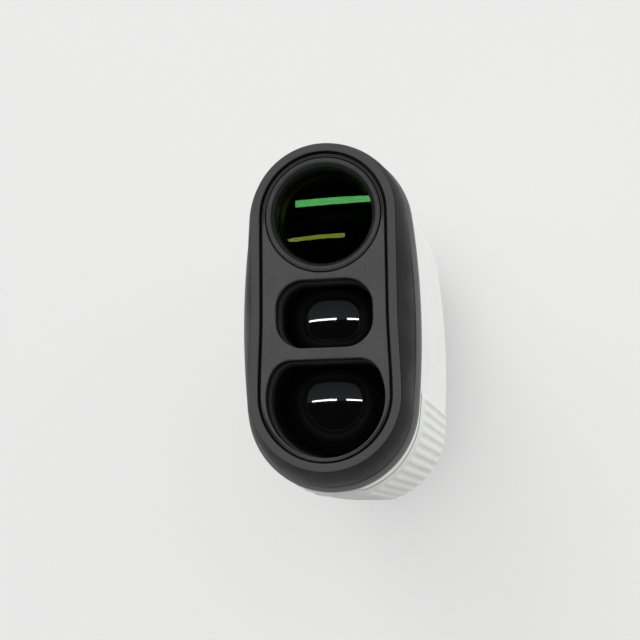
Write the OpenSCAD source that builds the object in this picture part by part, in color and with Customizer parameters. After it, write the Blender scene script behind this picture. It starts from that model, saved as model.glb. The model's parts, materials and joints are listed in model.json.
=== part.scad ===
// Handheld laser rangefinder, lens end towards -Y, eyepiece end towards +Y, belly on z = 0.
// A depth is measured back from the foremost edge; a height is measured up from the belly.

/* [Overall] */
// Length from the front lip to the rim of the eyecup
total_l = 100; // [92:1:112]
// Height of the optical axis of the sight above the belly
axis_h = 59.8; // [58.6:0.2:61]
// Depth at which the two side shells start
shell_start = 10.3; // [10.3:0.1:12]
// Length of the eyepiece behind the side shells
eyepiece_l = 13.5; // [13:0.25:14.5]
// Depth at which the body starts to narrow towards its tail
tail_start = 62; // [58:1:66]
// Wall of the side shells
shell_wall = 1.8; // [1.4:0.1:2.4]
// Half width of the body at its widest
body_half_w = 19.3; // [18.6:0.1:19.6]
// Height of the top of the body
body_top = 75.6; // [74.6:0.2:76.2]
// Height at which the body is widest
body_mid = 36.5; // [33:0.5:40]
// Radius of the long side curves
side_r = 188; // [150:2:230]
// Depth that the round belly would reach below its flat
belly_cut = 0.9; // [0.5:0.1:1.4]
// Narrowing of each side at the rear cover
tail_in = 2.7; // [2:0.1:3.4]
// Drop of the top at the rear cover
tail_drop = 1.9; // [1:0.1:2.6]
// Rise of the belly at the rear cover
tail_rise = 5.4; // [3:0.2:6]

/* [Bezel] */
// Depth of the flared bezel wall behind its front lip
bezel_d = 8.8; // [8:0.1:9.2]
// Depth of the rearmost edge of the bezel
bezel_end = 10.2; // [10:0.1:10.25]
// Half width of the outer flange of the bezel
bezel_half_w = 19.85; // [19.7:0.05:20.4]
// Height of the top of the outer flange
bezel_top = 76.7; // [76.4:0.1:77.4]
// Height of the lowest edge of the outer flange
bezel_low = 0.2; // [0.1:0.1:0.6]
// Width of the flange outside the flared wall
flange_w = 1.05; // [0.8:0.05:1.4]
// Width of the front lip, from the groove to the flared wall
lip_w = 1.62; // [1.3:0.02:1.8]
// Wall of the bezel at its rear edge
bezel_wall = 1.7; // [1.3:0.1:2]

/* [Panel] */
// Radius of the groove round the sight
face_top_r = 13.76; // [13.6:0.02:14.2]
// Radius of the groove round the receiver window
face_low_r = 14.27; // [14.1:0.02:14.8]
// Height of the centre of the lower round of the groove
face_low_h = 20.5; // [20.2:0.1:20.9]
// Height at which the groove starts to widen
face_waist_h = 38.7; // [34:0.5:42]
// Width of the groove between the panel and the bezel
groove_w = 0.9; // [0.6:0.05:1.1]
// Depth of the panel's front face behind the lip
panel_set = 0.35; // [0.2:0.05:0.8]
// Depth of the floor of the groove
groove_d = 1.6; // [1.4:0.1:2]
// Depth of the rear face of the panel
panel_end = 3.4; // [3:0.1:3.8]
// Width of the hidden panel flange outside the groove
panel_tongue = 0.5; // [0.3:0.05:0.7]

/* [Windows] */
// Half width of the emitter window
emit_half_w = 10.6; // [10:0.1:11]
// Half height of the emitter window
emit_half_h = 7.45; // [7:0.05:7.7]
// Corner radius of the emitter window
emit_corner = 6; // [4:0.25:6.75]
// Height of the middle of the emitter window
emit_h = 38.05; // [37.8:0.05:38.4]
// Radius of the receiver window
recv_r = 12.9; // [12.4:0.1:13]
// Height of the centre of the receiver window
recv_h = 20; // [19.8:0.1:20.3]
// Height of the flat top of the receiver window
recv_top = 28.1; // [27:0.1:28.5]
// Corner radius of the receiver window
recv_corner = 5; // [3:0.25:6]
// Depth of the rear end of both window hoods
hood_end = 13; // [12:0.25:14]
// Narrowing of both hoods towards their rear
hood_taper = 1.2; // [0.6:0.1:1.6]
// Wall of both window hoods
hood_wall = 0.8; // [0.6:0.1:1]

/* [Objective] */
// Outer radius of the retaining ring
ring_r = 12.65; // [12.4:0.05:12.7]
// Radius of the crest of the retaining ring
ring_crest_r = 12.05; // [11.7:0.05:12.15]
// Clear radius inside the retaining ring
ring_clear_r = 10.75; // [10.3:0.05:10.9]
// Depth of the rear face of the retaining ring
ring_end = 3.2; // [2.8:0.1:3.6]
// Outer radius of the objective tube
tube_r = 12.5; // [12.2:0.1:12.6]
// Bore radius of the objective tube
tube_bore_r = 11.1; // [11:0.05:11.3]
// Depth of the rear end of the objective tube
tube_end = 36; // [32:1:37]
// Number of stray-light baffles in the tube
baffles = 6; // [3:1:9]
// Height of each baffle above the bore
baffle_h = 0.6; // [0.3:0.1:1]
// Depth of the rim of the front lens
lens_depth = 3.9; // [3.7:0.1:4.5]
// Radius of the front lens surface
lens_curve = 62; // [45:1:90]
// Edge thickness of the front lens
lens_edge = 2.6; // [2:0.1:3.2]
// Edge thickness of the rear lens of the doublet
rear_lens_t = 2.4; // [1.8:0.1:3]
// Radius of the rear face of the doublet
rear_curve = 45; // [38:1:80]

/* [Emitter and receiver] */
// Depth of the foremost point of both dome lenses
dome_depth = 6.5; // [5.5:0.25:7.5]
// Radius of curvature of the emitter lens
emit_curve = 16; // [13:0.5:20]
// Radius of curvature of the receiver lens
recv_curve = 16; // [14:0.5:20]
// Depth of the front of the laser diode
diode_d = 24; // [22:0.5:26]
// Radius of the laser diode can
diode_r = 2.8; // [2:0.1:3]
// Depth of the front of the detector can
detector_d = 31; // [28:0.5:33]
// Radius of the detector can
detector_r = 4.2; // [3.4:0.1:4.5]
// Length of the diode and detector cans
can_l = 3.6; // [3:0.1:4.2]
// Thickness of every circuit board
board_t = 1.2; // [0.8:0.1:1.6]

/* [Prism and display] */
// Depth of the front of the prism cage
prism_d = 38.5; // [37.5:0.25:40]
// Length of the front prism along the axis
prism_front_l = 9; // [8:0.2:10]
// Length of the roof prism along the axis
prism_roof_l = 12; // [11:0.2:13]
// Half width of both prisms
prism_half_w = 7.5; // [6.5:0.1:8]
// Half height of both prisms
prism_half_h = 8.2; // [7.5:0.1:8.3]
// Air gap between the prisms
prism_gap = 0.4; // [0.2:0.1:0.6]
// Slant of the joint between the prisms
prism_slant = 4; // [3:0.25:4.5]
// Height of the square edges of both prisms
prism_edge = 3; // [2:0.25:4]
// Chamfer of the rear of the roof prism
roof_chamfer = 5; // [3:0.25:6]
// Wall of the prism cage
cage_wall = 1.2; // [0.8:0.1:1.6]
// Thickness of the display panel
display_t = 1.6; // [1:0.1:2]
// Half width of the display panel
display_half = 6.4; // [5.5:0.1:6.8]

/* [Eyepiece] */
// Outer radius of the eyepiece tube
eye_tube_r = 11; // [10.6:0.1:11.2]
// Bore radius of the eyepiece tube
eye_bore_r = 9.7; // [9.4:0.1:9.8]
// Length of the eyepiece tube inside the side shells
eye_tube_in = 11.5; // [10:0.5:11.5]
// Width of the dioptre ring
dioptre_w = 3; // [2.6:0.1:3.2]
// Outer radius of the dioptre ring
dioptre_r = 13.7; // [13.2:0.1:14]
// Number of ridges round the dioptre ring
dioptre_ridges = 36; // [24:2:44]
// Outer radius of the eyecup
cup_r = 14.5; // [14.2:0.1:14.8]
// Radius of the opening in the eyecup
cup_open_r = 8.8; // [8.2:0.1:9.2]
// Thickness of the rim of the eyecup
cup_rim = 1.3; // [1:0.1:1.6]
// Travel of the eyecup
cup_travel = 4; // [3:0.25:4.5]
// Length of the sliding eye lens cell
cell_l = 11; // [10:0.5:12]
// Wall of the sliding eye lens cell
cell_wall = 1; // [0.8:0.1:1.3]
// Distance of the field lens behind the front of its cell
field_lens_in = 2.5; // [2:0.25:3]
// Edge thickness of the field lens
field_lens_t = 1.2; // [0.9:0.1:1.5]
// Radius of both faces of the field lens
field_curve = 30; // [26:1:40]
// Distance of the eye lens ahead of the rear of its cell
eye_lens_in = 1.8; // [1.7:0.1:2.2]
// Edge thickness of the eye lens
eye_lens_t = 1.4; // [1:0.1:1.6]
// Radius of both faces of the eye lens
eye_curve = 24; // [22:1:32]
// Travel of the eye lens cell each way
focus_travel = 1.2; // [0.6:0.1:1.6]
// Thickness of the rubber seal round the eyepiece tube
seal_t = 1; // [0.8:0.1:1.2]

/* [Rear cover] */
// Thickness of the rear cover
cover_t = 3; // [2.6:0.1:3.2]
// Distance of the upper rear screws from the middle
rear_screw_x = 12; // [11:0.25:12.5]
// Height of the upper rear screws
rear_screw_h = 43; // [42:0.25:44]
// Height of the lower rear screw
low_screw_h = 33; // [32:0.25:34]
// Radius of the hole in the lanyard lug
lanyard_r = 1.6; // [1.2:0.1:1.9]
// Outer radius of the lanyard lug
lug_r = 3.2; // [2.9:0.1:3.6]
// Thickness of the lanyard lug
lug_t = 3; // [2.4:0.1:3.6]
// Distance of the lanyard lug from the middle
lug_x = 8.5; // [7:0.5:9]
// Height of the centre of the lanyard lug
lug_h = 36; // [34:0.5:38]

/* [Battery] */
// Radius of the battery
battery_r = 7.8; // [7.2:0.1:7.9]
// Length of the battery
battery_l = 27; // [24:0.5:28]
// Height of the axis of the battery
battery_h = 18.4; // [18:0.2:19]
// Bore radius of the battery sleeve
sleeve_bore_r = 8.1; // [8:0.05:8.3]
// Wall of the battery sleeve
sleeve_wall = 0.9; // [0.7:0.1:1.2]
// Free length of the contact spring
spring_l = 4; // [3:0.25:4.5]
// Turns of the contact spring
spring_turns = 4; // [3:1:6]
// Wire radius of the contact spring
spring_wire = 0.3; // [0.2:0.05:0.35]

/* [Battery door] */
// Half width of the battery door
door_half_w = 10; // [9.6:0.1:10.4]
// Half height of the battery door
door_half_h = 10; // [9.6:0.1:10.4]
// Thickness of the battery door
door_t = 2; // [1.8:0.1:2.2]
// Radius of the hinge barrels
hinge_r = 1.7; // [1.5:0.05:1.8]
hinge_gap = 0.2; // [0.15:0.05:0.3]
// Radius of the hinge pin
pin_r = 0.8; // [0.6:0.05:0.9]
// Height of the middle hinge barrel
knuckle_l = 9; // [7:0.5:11]
// Height of each outer hinge barrel
knuckle_end_l = 3; // [2.5:0.25:4]
// Radius of the rubber cord of the door seal
door_seal_r = 0.5; // [0.4:0.05:0.6]
// Radius of the contact plate on the door
contact_r = 5.4; // [4.5:0.1:6]
// Radius of the contact stud that meets the battery
contact_pin_r = 2.4; // [2:0.1:3]
// Thickness of the contact plate
contact_t = 0.6; // [0.4:0.05:0.8]

/* [Buttons] */
// Half width of the pad on the top
pad_half_w = 9; // [8:0.25:9.5]
// Length of the pad on the top
pad_l = 34; // [32:1:36]
// Thickness of the pad on the top
pad_t = 0.9; // [0.7:0.1:1.2]
// Depth of the front end of the pad
pad_start = 33; // [32:0.5:34]
// Radius of the power button
power_r = 5.6; // [5:0.1:6]
// Distance of the power button behind the front end of the pad
power_back = 12.5; // [11.5:0.5:13]
// Radius of the mode button
mode_r = 3.8; // [3.2:0.1:4.2]
// Distance of the mode button behind the power button
mode_back = 13; // [11.5:0.5:14]
// Height of the buttons above the pad
button_proud = 1; // [0.9:0.1:1.4]
// Travel of the buttons
button_travel = 0.8; // [0.4:0.1:0.85]
// Radial clearance round the buttons
button_gap = 0.25; // [0.15:0.05:0.4]
// Radius of each snap dome under a button
dome_r = 3; // [2.4:0.1:3.2]
// Height of each snap dome
dome_t = 0.5; // [0.3:0.05:0.6]
// Half length of the slope switch knob
switch_half_l = 3; // [2.4:0.2:3.4]
// Half height of the slope switch knob
switch_half_h = 1.8; // [1.4:0.1:2]
// Height of the slope switch knob above its plate
knob_t = 0.75; // [0.6:0.05:0.9]
// Travel of the slope switch
switch_travel = 2; // [1:0.25:2.5]
// Distance of the slope switch ahead of the rear end of the side shells
switch_back = 16.5; // [14.5:0.5:18.5]
// Height of the slope switch
switch_h = 40; // [37:0.5:43]

/* [Grip] */
// Depth of the front end of the ribbed grip
grip_start = 16; // [14:0.5:20]
// Depth of the rear end of the ribbed grip
grip_end = 68; // [64:0.5:72]
// Height to which the grip reaches up each side
grip_h = 22; // [19.5:0.5:26]
// Number of ribs on each side
grip_ribs = 14; // [8:1:18]
// Height of each rib
rib_h = 0.45; // [0.2:0.05:0.6]
// Thickness of the grip under its ribs
grip_t = 0.5; // [0.4:0.05:0.8]

/* [Boards and fasteners] */
// Half height of the main board
main_half_h = 7.5; // [6:0.25:7.75]
// Height of the middle of the main board
main_h = 37.5; // [37:0.25:38]
// Gap between the main board and the rear bulkhead
main_gap = 8; // [7:0.5:12]
// Thickness of the chips on the main board
chip_t = 1.2; // [0.8:0.1:1.4]
// Depth of the front of the main board
main_d = 38.5; // [38:0.25:39]
// Distance of the main board left of the middle
main_x = 12.2; // [11.6:0.1:12.4]
// Half width of the emitter board
emitter_board_half = 9; // [8:0.25:9.5]
// Height of the lower edge of the emitter board
emitter_board_low = 31.5; // [31:0.25:33]
// Half width of the receiver board and of the bulkhead behind it
receiver_board_half = 10; // [9:0.25:10.5]
// Height of the lower edge of the receiver board
receiver_board_low = 8; // [7:0.25:9]
// Height of the upper edge of the receiver board
receiver_board_high = 29; // [27:0.25:29.5]
// Radius of the vibration motor
motor_r = 2.5; // [2:0.1:3]
// Length of the vibration motor
motor_l = 9; // [7:0.5:10]
// Depth of the front of the vibration motor
motor_d = 50; // [46:1:56]
// Distance of the vibration motor right of the middle
motor_x = 6.5; // [5:0.5:8]
// Radius of every screw shank
screw_r = 0.8; // [0.6:0.05:1]
// Radius of every screw head
head_r = 1.8; // [1.5:0.1:2]
// Thickness of every screw head
head_t = 1; // [0.8:0.05:1.1]
// Radius of every screw post
post_r = 2.4; // [2.2:0.1:2.8]

/* [Chassis] */
// Thickness of the front and middle bulkheads
bulkhead_t = 1.4; // [1:0.1:1.8]
// Thickness of the rear bulkhead
rear_bulkhead_t = 1.9; // [1.5:0.1:2.2]
// Half width of the deck under the prisms
deck_half = 8; // [7:0.25:8.5]
// Half width of the rear bulkhead
rear_bulkhead_half = 14; // [13.5:0.25:14.5]
// Height of the lower edge of the rear bulkhead
rear_bulkhead_low = 29.5; // [28.5:0.25:30.5]

/* [Fits] */
// Radial clearance of a turning or sliding fit
run_fit = 0.05; // [0.03:0.01:0.08]
// Gap between pieces that are only laid together
lay_gap = 0.1; // [0.05:0.05:0.15]

/* [Hidden] */
$fn = 72;
arc_steps = 12;
side_steps = 10;
front_y = -total_l / 2;
shell_end = total_l - eyepiece_l;
half_groove = groove_w / 2;

// ---- Outlines, as [x, height] points from the top centre down the right side ----

function smooth(t) = let (c = min(1, max(0, t))) c * c * (3 - 2 * c);

function sag(radius, reach) = radius - sqrt(radius * radius - reach * reach);

function arc(radius, height, from, to) = [for (i = [0:arc_steps])
    let (a = from + (to - from) * i / arc_steps) [radius * cos(a), height + radius * sin(a)]];

function tail(list) = [for (i = [1:len(list) - 1]) list[i]];

function reverse(list) = [for (i = [len(list) - 1:-1:0]) list[i]];

function left_of(list) = [for (p = list) [-p[0], p[1]]];

// Outline of the groove, moved outwards by off
function face_half(off) = concat(
    arc(face_top_r + off, axis_h, 90, 0),
    [for (i = [1:side_steps]) let (
        h = axis_h + (face_low_h - axis_h) * i / side_steps,
        widen = smooth((face_waist_h - h) / (face_waist_h - face_low_h)))
        [face_top_r + off + (face_low_r - face_top_r) * widen, h]],
    tail(arc(face_low_r + off, face_low_h, 0, -90)));

// An oval is [half width, top, bottom, height of the widest place, side radius]
function shrink(o, by) = [o[0] - by, o[1] - by, o[2] + by, o[3], o[4] - by];
function end_r(o, reach) = (2 * o[4] * o[0] - o[0] * o[0] - reach * reach) / (2 * (o[4] - reach));
function top_r(o) = end_r(o, o[1] - o[3]);
function low_r(o) = end_r(o, o[3] - o[2]);
function top_h(o) = o[1] - top_r(o);
function low_h(o) = o[2] + low_r(o);
function top_a(o) = atan2(top_h(o) - o[3], o[4] - o[0]);
function low_a(o) = atan2(low_h(o) - o[3], o[4] - o[0]);

function oval_half(o) = concat(
    arc(top_r(o), top_h(o), 90, top_a(o)),
    [for (i = [1:side_steps]) let (a = top_a(o) + (low_a(o) - top_a(o)) * i / side_steps)
        [o[0] - o[4] + o[4] * cos(a), o[3] + o[4] * sin(a)]],
    tail(arc(low_r(o), low_h(o), low_a(o), -90)));

// Half width of an oval at a height
function oval_w(o, h) =
    h > top_h(o) + top_r(o) * sin(top_a(o)) ? sqrt(pow(top_r(o), 2) - pow(h - top_h(o), 2))
    : h > low_h(o) + low_r(o) * sin(low_a(o)) ? o[0] - sag(o[4], h - o[3])
    : sqrt(pow(low_r(o), 2) - pow(h - low_h(o), 2));

function flatten(points, floor_h) = [for (p = points) [p[0], max(p[1], floor_h)]];
function whole(half) = concat(half, [for (i = [len(half) - 2:-1:1]) [-half[i][0], half[i][1]]]);
function ring(points, depth) = [for (p = points) [p[0], front_y + depth, p[1]]];

// Closed outline with round corners about a height, counted clockwise from the upper right
function window_pts(half_w, half_h, corner, height) = [for (q = [0:3], i = [0:arc_steps]) let (
    sx = q < 2 ? 1 : -1,
    sz = (q == 0 || q == 3) ? 1 : -1,
    a = 90 - 90 * q - 90 * i / arc_steps)
    [sx * (half_w - corner) + corner * cos(a), height + sz * (half_h - corner) + corner * sin(a)]];

// Round window cut flat at the top, with round corners, moved outwards by off
function d_window_pts(off) = let (
    r = recv_r + off,
    c = recv_corner + off,
    top = recv_top + off,
    cx = sqrt(pow(r - c, 2) - pow(top - c - recv_h, 2)),
    meet = atan2(top - c - recv_h, cx),
    corner = [for (i = [0:arc_steps]) let (a = 90 - (90 - meet) * i / arc_steps)
        [cx + c * cos(a), top - c + c * sin(a)]],
    low = tail([for (i = [0:2 * arc_steps]) let (a = meet - (meet + 90) * i / (2 * arc_steps))
        [r * cos(a), recv_h + r * sin(a)]]))
    concat([[0, top]], corner, low, [for (i = [len(low) - 2:-1:0]) [-low[i][0], low[i][1]]],
        [for (i = [len(corner) - 1:-1:0]) [-corner[i][0], corner[i][1]]]);

// ---- Body section at a depth ----

belly_h = grip_t + rib_h;
body_r = side_r - (bezel_half_w - body_half_w);

function tail_at(depth) = pow(max(0, (depth - tail_start) / (shell_end - tail_start)), 2);
function body_at(depth) = let (t = tail_at(depth)) [
    body_half_w - tail_in * t,
    body_top - tail_drop * t,
    belly_h - belly_cut + tail_rise * t,
    body_mid,
    body_r];
function shell_pts(depth, in) = flatten(oval_half(shrink(body_at(depth), in)), belly_h + in);
body_depths = concat([shell_start], [for (i = [0:8]) tail_start + (shell_end - tail_start) * i / 8]);
flange_oval = [bezel_half_w, bezel_top, bezel_low, body_mid, side_r];

// ---- Solids from rings of points ----

// Rings run from front to rear outside; a closed loft runs back along the inside.
// A hollow end is capped by a strip between the outer and the inner half of its ring.
module loft(rings, closed, hollow = false) {
    n = len(rings[0]);
    m = len(rings);
    sides = [for (i = [0:m - (closed ? 1 : 2)], j = [0:n - 1], half = [0, 1]) let (
        a = i * n + j,
        b = ((i + 1) % m) * n + j,
        c = ((i + 1) % m) * n + (j + 1) % n,
        d = i * n + (j + 1) % n)
        half == 0 ? [a, b, c] : [a, c, d]];
    last = (m - 1) * n;
    strip = [for (j = [0:n / 2 - 2]) [j, j + 1, n - 2 - j, n - 1 - j]];
    caps = closed ? []
        : hollow ? [for (q = strip, end = [0, 1], half = [0, 1]) let (
            t = half == 0 ? [q[0], q[1], q[2]] : [q[0], q[2], q[3]])
            end == 0 ? t : [last + t[2], last + t[1], last + t[0]]]
        : [[for (j = [0:n - 1]) j], [for (j = [n - 1:-1:0]) last + j]];
    polyhedron(points = [for (r = rings, p = r) p], faces = concat(sides, caps));
}

// Plate across the axis, from the outline of its children
module slab(depth, thick) {
    translate([0, front_y + depth + thick, 0])
        rotate([90, 0, 0])
            linear_extrude(thick) children();
}

// Turned piece about an axis along Y; its profile is [radius, depth]
module turned(height, profile, x = 0) {
    translate([x, front_y, height])
        rotate([-90, 0, 0])
            rotate_extrude() polygon(profile);
}

module rod(height, radius, from, to, x = 0) {
    translate([x, front_y + from, height])
        rotate([-90, 0, 0])
            cylinder(r = radius, h = to - from);
}

module pipe(height, outer, inner, from, to) {
    turned(height, [[inner, from], [outer, from], [outer, to], [inner, to]]);
}

// Rod across the body, from x = from to x = to
module cross_rod(depth, height, radius, from, to) {
    translate([from, front_y + depth, height])
        rotate([0, 90, 0])
            cylinder(r = radius, h = to - from);
}

// Upright rod
module post(x, depth, radius, from, to) {
    translate([x, front_y + depth, from]) cylinder(r = radius, h = to - from);
}

// Box from x, depth and height ranges
module block(x, depth, height) {
    translate([x[0], front_y + depth[0], height[0]])
        cube([x[1] - x[0], depth[1] - depth[0], height[1] - height[0]]);
}

// ---- Front ----

lip_out = half_groove + lip_w;
wall_oval = shrink(flange_oval, flange_w);
lip_profile = [[half_groove, 0.45], [half_groove + 0.12, 0.14], [half_groove + 0.4, 0],
    [lip_out - 0.34, 0], [lip_out - 0.1, 0.1], [lip_out, 0.38]];
tongue = half_groove + panel_tongue;

module front_bezel() {
    outer_face = [for (p = lip_profile) ring(whole(face_half(p[0])), p[1])];
    flange = [for (p = [[flange_w, -0.15], [flange_w * 0.4, 0], [0, 0.45]])
        ring(whole(oval_half(shrink(flange_oval, p[0]))), bezel_d + p[1])];
    rear_in = shrink(flange_oval, flange_w + bezel_wall);
    color("#4a4b4d")
        loft(concat(outer_face, flange, [
            ring(whole(oval_half(flange_oval)), bezel_end),
            ring(whole(oval_half(rear_in)), bezel_end),
            ring(whole(oval_half(rear_in)), bezel_d),
            ring(whole(face_half(tongue + lay_gap)), panel_end + 1),
            ring(whole(face_half(tongue + lay_gap)), groove_d),
            ring(whole(face_half(half_groove)), groove_d)]), true);
}

module window_cuts() {
    translate([0, axis_h]) circle(r = ring_r + run_fit);
    polygon(window_pts(emit_half_w, emit_half_h, emit_corner, emit_h));
    polygon(d_window_pts(0));
}

module front_panel() {
    color("#505153") {
        slab(panel_set, groove_d - panel_set) difference() {
            polygon(whole(face_half(-half_groove)));
            window_cuts();
        }
        slab(groove_d, panel_end - groove_d) difference() {
            polygon(whole(face_half(tongue)));
            window_cuts();
        }
    }
}

module objective_ring() {
    color("#3f4042")
        turned(axis_h, [[ring_r, panel_set + 0.25], [ring_crest_r + 0.25, panel_set - 0.1],
            [ring_crest_r - 0.2, panel_set - 0.1], [ring_clear_r + 0.35, panel_set + 0.55],
            [ring_clear_r, panel_set + 1.1], [ring_clear_r, ring_end], [ring_r, ring_end]]);
}

module objective_tube() {
    back = lens_depth + lens_edge + rear_lens_t + 2;
    step = (tube_end - back - 2) / baffles;
    teeth = [for (i = [baffles - 1:-1:0], p = [[0, 1.2], [baffle_h, 0.9], [0, 0.6]])
        [tube_bore_r - p[0], back + 2 + step * i + p[1]]];
    color("#1b1b1d")
        turned(axis_h, concat([[tube_r, ring_end + run_fit], [tube_r, tube_end],
            [tube_bore_r, tube_end]], teeth, [[tube_bore_r, ring_end + run_fit]]));
}

module objective_lens() {
    r = tube_bore_r - run_fit;
    bow = sag(lens_curve, r);
    rear = lens_depth + lens_edge;
    color("#5f8f86")
        turned(axis_h, concat(
            [for (i = [0:arc_steps]) let (x = r * i / arc_steps)
                [x, lens_depth - bow + sag(lens_curve, x)]],
            [[r, rear], [0, rear]]));
}

module objective_rear_lens() {
    front = lens_depth + lens_edge + run_fit;
    rear = front + rear_lens_t;
    r = tube_bore_r - run_fit;
    bow = sag(rear_curve, r);
    color("#7f9f70")
        turned(axis_h, concat([[0, front], [r, front]],
            [for (i = [arc_steps:-1:0]) let (x = r * i / arc_steps)
                [x, rear + bow - sag(rear_curve, x)]]));
}

module hood(outline_front, outline_rear, outer_front, outer_rear) {
    loft([ring(outer_front, panel_end), ring(outer_rear, hood_end),
        ring(outline_rear, hood_end), ring(outline_front, panel_end)], true);
}

function emit_pts(off) = window_pts(emit_half_w + off, emit_half_h + off, emit_corner + off, emit_h);

module emitter_hood() {
    color("#17171a")
        hood(emit_pts(0), emit_pts(-hood_taper), emit_pts(hood_wall), emit_pts(hood_wall - hood_taper));
}

module receiver_hood() {
    color("#17171a")
        hood(d_window_pts(0), d_window_pts(-hood_taper),
            d_window_pts(hood_wall), d_window_pts(hood_wall - hood_taper));
}

// Domed lens trimmed to the outline of its children
module dome_lens(height, curve) {
    intersection() {
        translate([0, front_y + dome_depth + curve, height]) sphere(r = curve);
        slab(dome_depth - 1, hood_end - dome_depth + 1) children();
    }
}

module emitter_lens() {
    color("#101216") dome_lens(emit_h, emit_curve) polygon(emit_pts(-hood_taper - lay_gap));
}

module receiver_lens() {
    color("#101216") dome_lens(recv_h, recv_curve) polygon(d_window_pts(-hood_taper - lay_gap));
}

module can(height, radius, depth) {
    turned(height, [[0, depth], [radius, depth], [radius, depth + can_l - 0.5],
        [radius + 0.5, depth + can_l - 0.5], [radius + 0.5, depth + can_l], [0, depth + can_l]]);
}

module laser_diode() {
    color("#b9a25a") can(emit_h, diode_r, diode_d);
}

module detector() {
    color("#a9abad") can(recv_h, detector_r, detector_d);
}

emitter_board_d = diode_d + can_l;
receiver_board_d = detector_d + can_l;
deck_bottom = emit_h + emit_half_h + 0.4;
deck_top = deck_bottom + board_t;

module emitter_board() {
    color("#2f6b45")
        block([-emitter_board_half, emitter_board_half], [emitter_board_d, emitter_board_d + board_t],
            [emitter_board_low, deck_bottom]);
}

module receiver_board() {
    color("#2f6b45")
        block([-receiver_board_half, receiver_board_half], [receiver_board_d, receiver_board_d + board_t],
            [receiver_board_low, receiver_board_high]);
}

// ---- Chassis, prisms and display ----

mid_bulkhead_d = receiver_board_d + board_t;
rear_bulkhead_d = shell_end - lay_gap - rear_bulkhead_t;

lens_seat = 1.2;
mid_bulkhead = [[deck_half, deck_bottom], [receiver_board_half, receiver_board_high],
    [receiver_board_half, receiver_board_low - 2]];

module optical_chassis() {
    color("#2b2c2e") {
        difference() {
            slab(hood_end, bulkhead_t)
                polygon(whole(shell_pts(hood_end, shell_wall + lay_gap)));
            rod(axis_h, tube_r + run_fit, 0, total_l);
            slab(0, total_l) polygon(emit_pts(-hood_taper - lens_seat));
            slab(0, total_l) polygon(d_window_pts(-hood_taper - lens_seat));
        }
        block([-deck_half, deck_half], [hood_end + bulkhead_t, rear_bulkhead_d], [deck_bottom, deck_top]);
        slab(mid_bulkhead_d, bulkhead_t) polygon(concat(left_of(reverse(mid_bulkhead)), mid_bulkhead));
        difference() {
            block([-rear_bulkhead_half, rear_bulkhead_half],
                [rear_bulkhead_d, rear_bulkhead_d + rear_bulkhead_t],
                [rear_bulkhead_low, deck_top]);
            for (s = rear_screw_at) rod(s[1], screw_r + 0.02, 0, total_l, s[0]);
        }
    }
}

cage_end = prism_d + prism_front_l + prism_gap + prism_roof_l + display_t + 2;
cage_in = prism_half_w + lay_gap;
cage_out = cage_in + cage_wall;
prism_low = axis_h - prism_half_h;
prism_high = axis_h + prism_half_h;

module prism_cage() {
    color("#232427") {
        block([-cage_out, cage_out], [prism_d - 0.5, cage_end], [deck_top, prism_low]);
        for (side = [-1, 1])
            block([side > 0 ? cage_in : -cage_out, side > 0 ? cage_out : -cage_in],
                [prism_d - 0.5, cage_end], [prism_low, board_low]);
    }
}

module prism_piece(points) {
    translate([-prism_half_w, front_y, 0])
        rotate([90, 0, 90])
            linear_extrude(2 * prism_half_w) polygon(points);
}

module prism_front() {
    end = prism_d + prism_front_l;
    color("#8fb0ad")
        prism_piece([[prism_d, prism_low], [end - prism_slant, prism_low], [end, prism_high - prism_edge],
            [end, prism_high], [prism_d, prism_high]]);
}

module prism_roof() {
    start = prism_d + prism_front_l + prism_gap;
    end = start + prism_roof_l;
    color("#9dbdb6")
        difference() {
            prism_piece([[start - prism_slant, prism_low], [end, prism_low], [end, prism_high - roof_chamfer],
                [end - roof_chamfer, prism_high], [start, prism_high], [start, prism_high - prism_edge]]);
            for (side = [-1, 1])
                translate([0, 0, prism_high])
                    rotate([0, side * 45, 0])
                        translate([side > 0 ? 0 : -20, front_y, 0]) cube([20, total_l, 20]);
        }
}

display_d = cage_end - display_t - 0.6;

module display_panel() {
    color("#3c4a55")
        block([-display_half, display_half], [display_d, display_d + display_t],
            [prism_low, prism_low + 2 * display_half]);
}

// ---- Shells ----

posts_at = [[20.5, 31], [41, 10], [shell_end - 4.5, 38]];

// Half width of the body at the lower edge of a round piece
function edge_at(p, r) = oval_w(body_at(p[0]), p[1] - r);

module half_shell(bore) {
    difference() {
        union() {
            loft([for (d = body_depths) ring(concat(
                [for (p = shell_pts(d, 0)) [max(p[0], lay_gap / 2), p[1]]],
                [for (q = reverse(shell_pts(d, shell_wall))) [max(q[0], lay_gap / 2), q[1]]]), d)],
                false, true);
            intersection() {
                loft([for (d = body_depths) ring(shell_pts(d, shell_wall / 2), d)], false);
                for (p = posts_at) cross_rod(p[0], p[1], post_r, lay_gap / 2, body_half_w);
            }
        }
        for (p = posts_at)
            cross_rod(p[0], p[1], bore, -1, edge_at(p, head_r) - head_t - 1.2);
        for (b = buttons_at) post(0, b[0], b[1] + button_gap, body_top - 8, body_top + 8);
    }
}

module right_shell() {
    color("#f2f2f0") half_shell(screw_r + 0.02);
}

module left_shell() {
    color("#f2f2f0")
        difference() {
            mirror([1, 0, 0]) half_shell(screw_r + 0.1);
            for (p = posts_at) {
                edge = edge_at(p, head_r);
                cross_rod(p[0], p[1], screw_r + 0.1, -body_half_w - 1, -lay_gap);
                cross_rod(p[0], p[1], head_r + 0.15, -body_half_w - 1, -edge + head_t + 0.4);
            }
            block([-body_half_w - 1, switch_floor], switch_range(plate_half_l + 0.05),
                [switch_h - plate_half_h - 0.05, switch_h + plate_half_h + 0.05]);
            block([-body_half_w - 1, -body_half_w / 2], switch_range(slot_half_l),
                [switch_h - slot_half_h, switch_h + slot_half_h]);
        }
}

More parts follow.
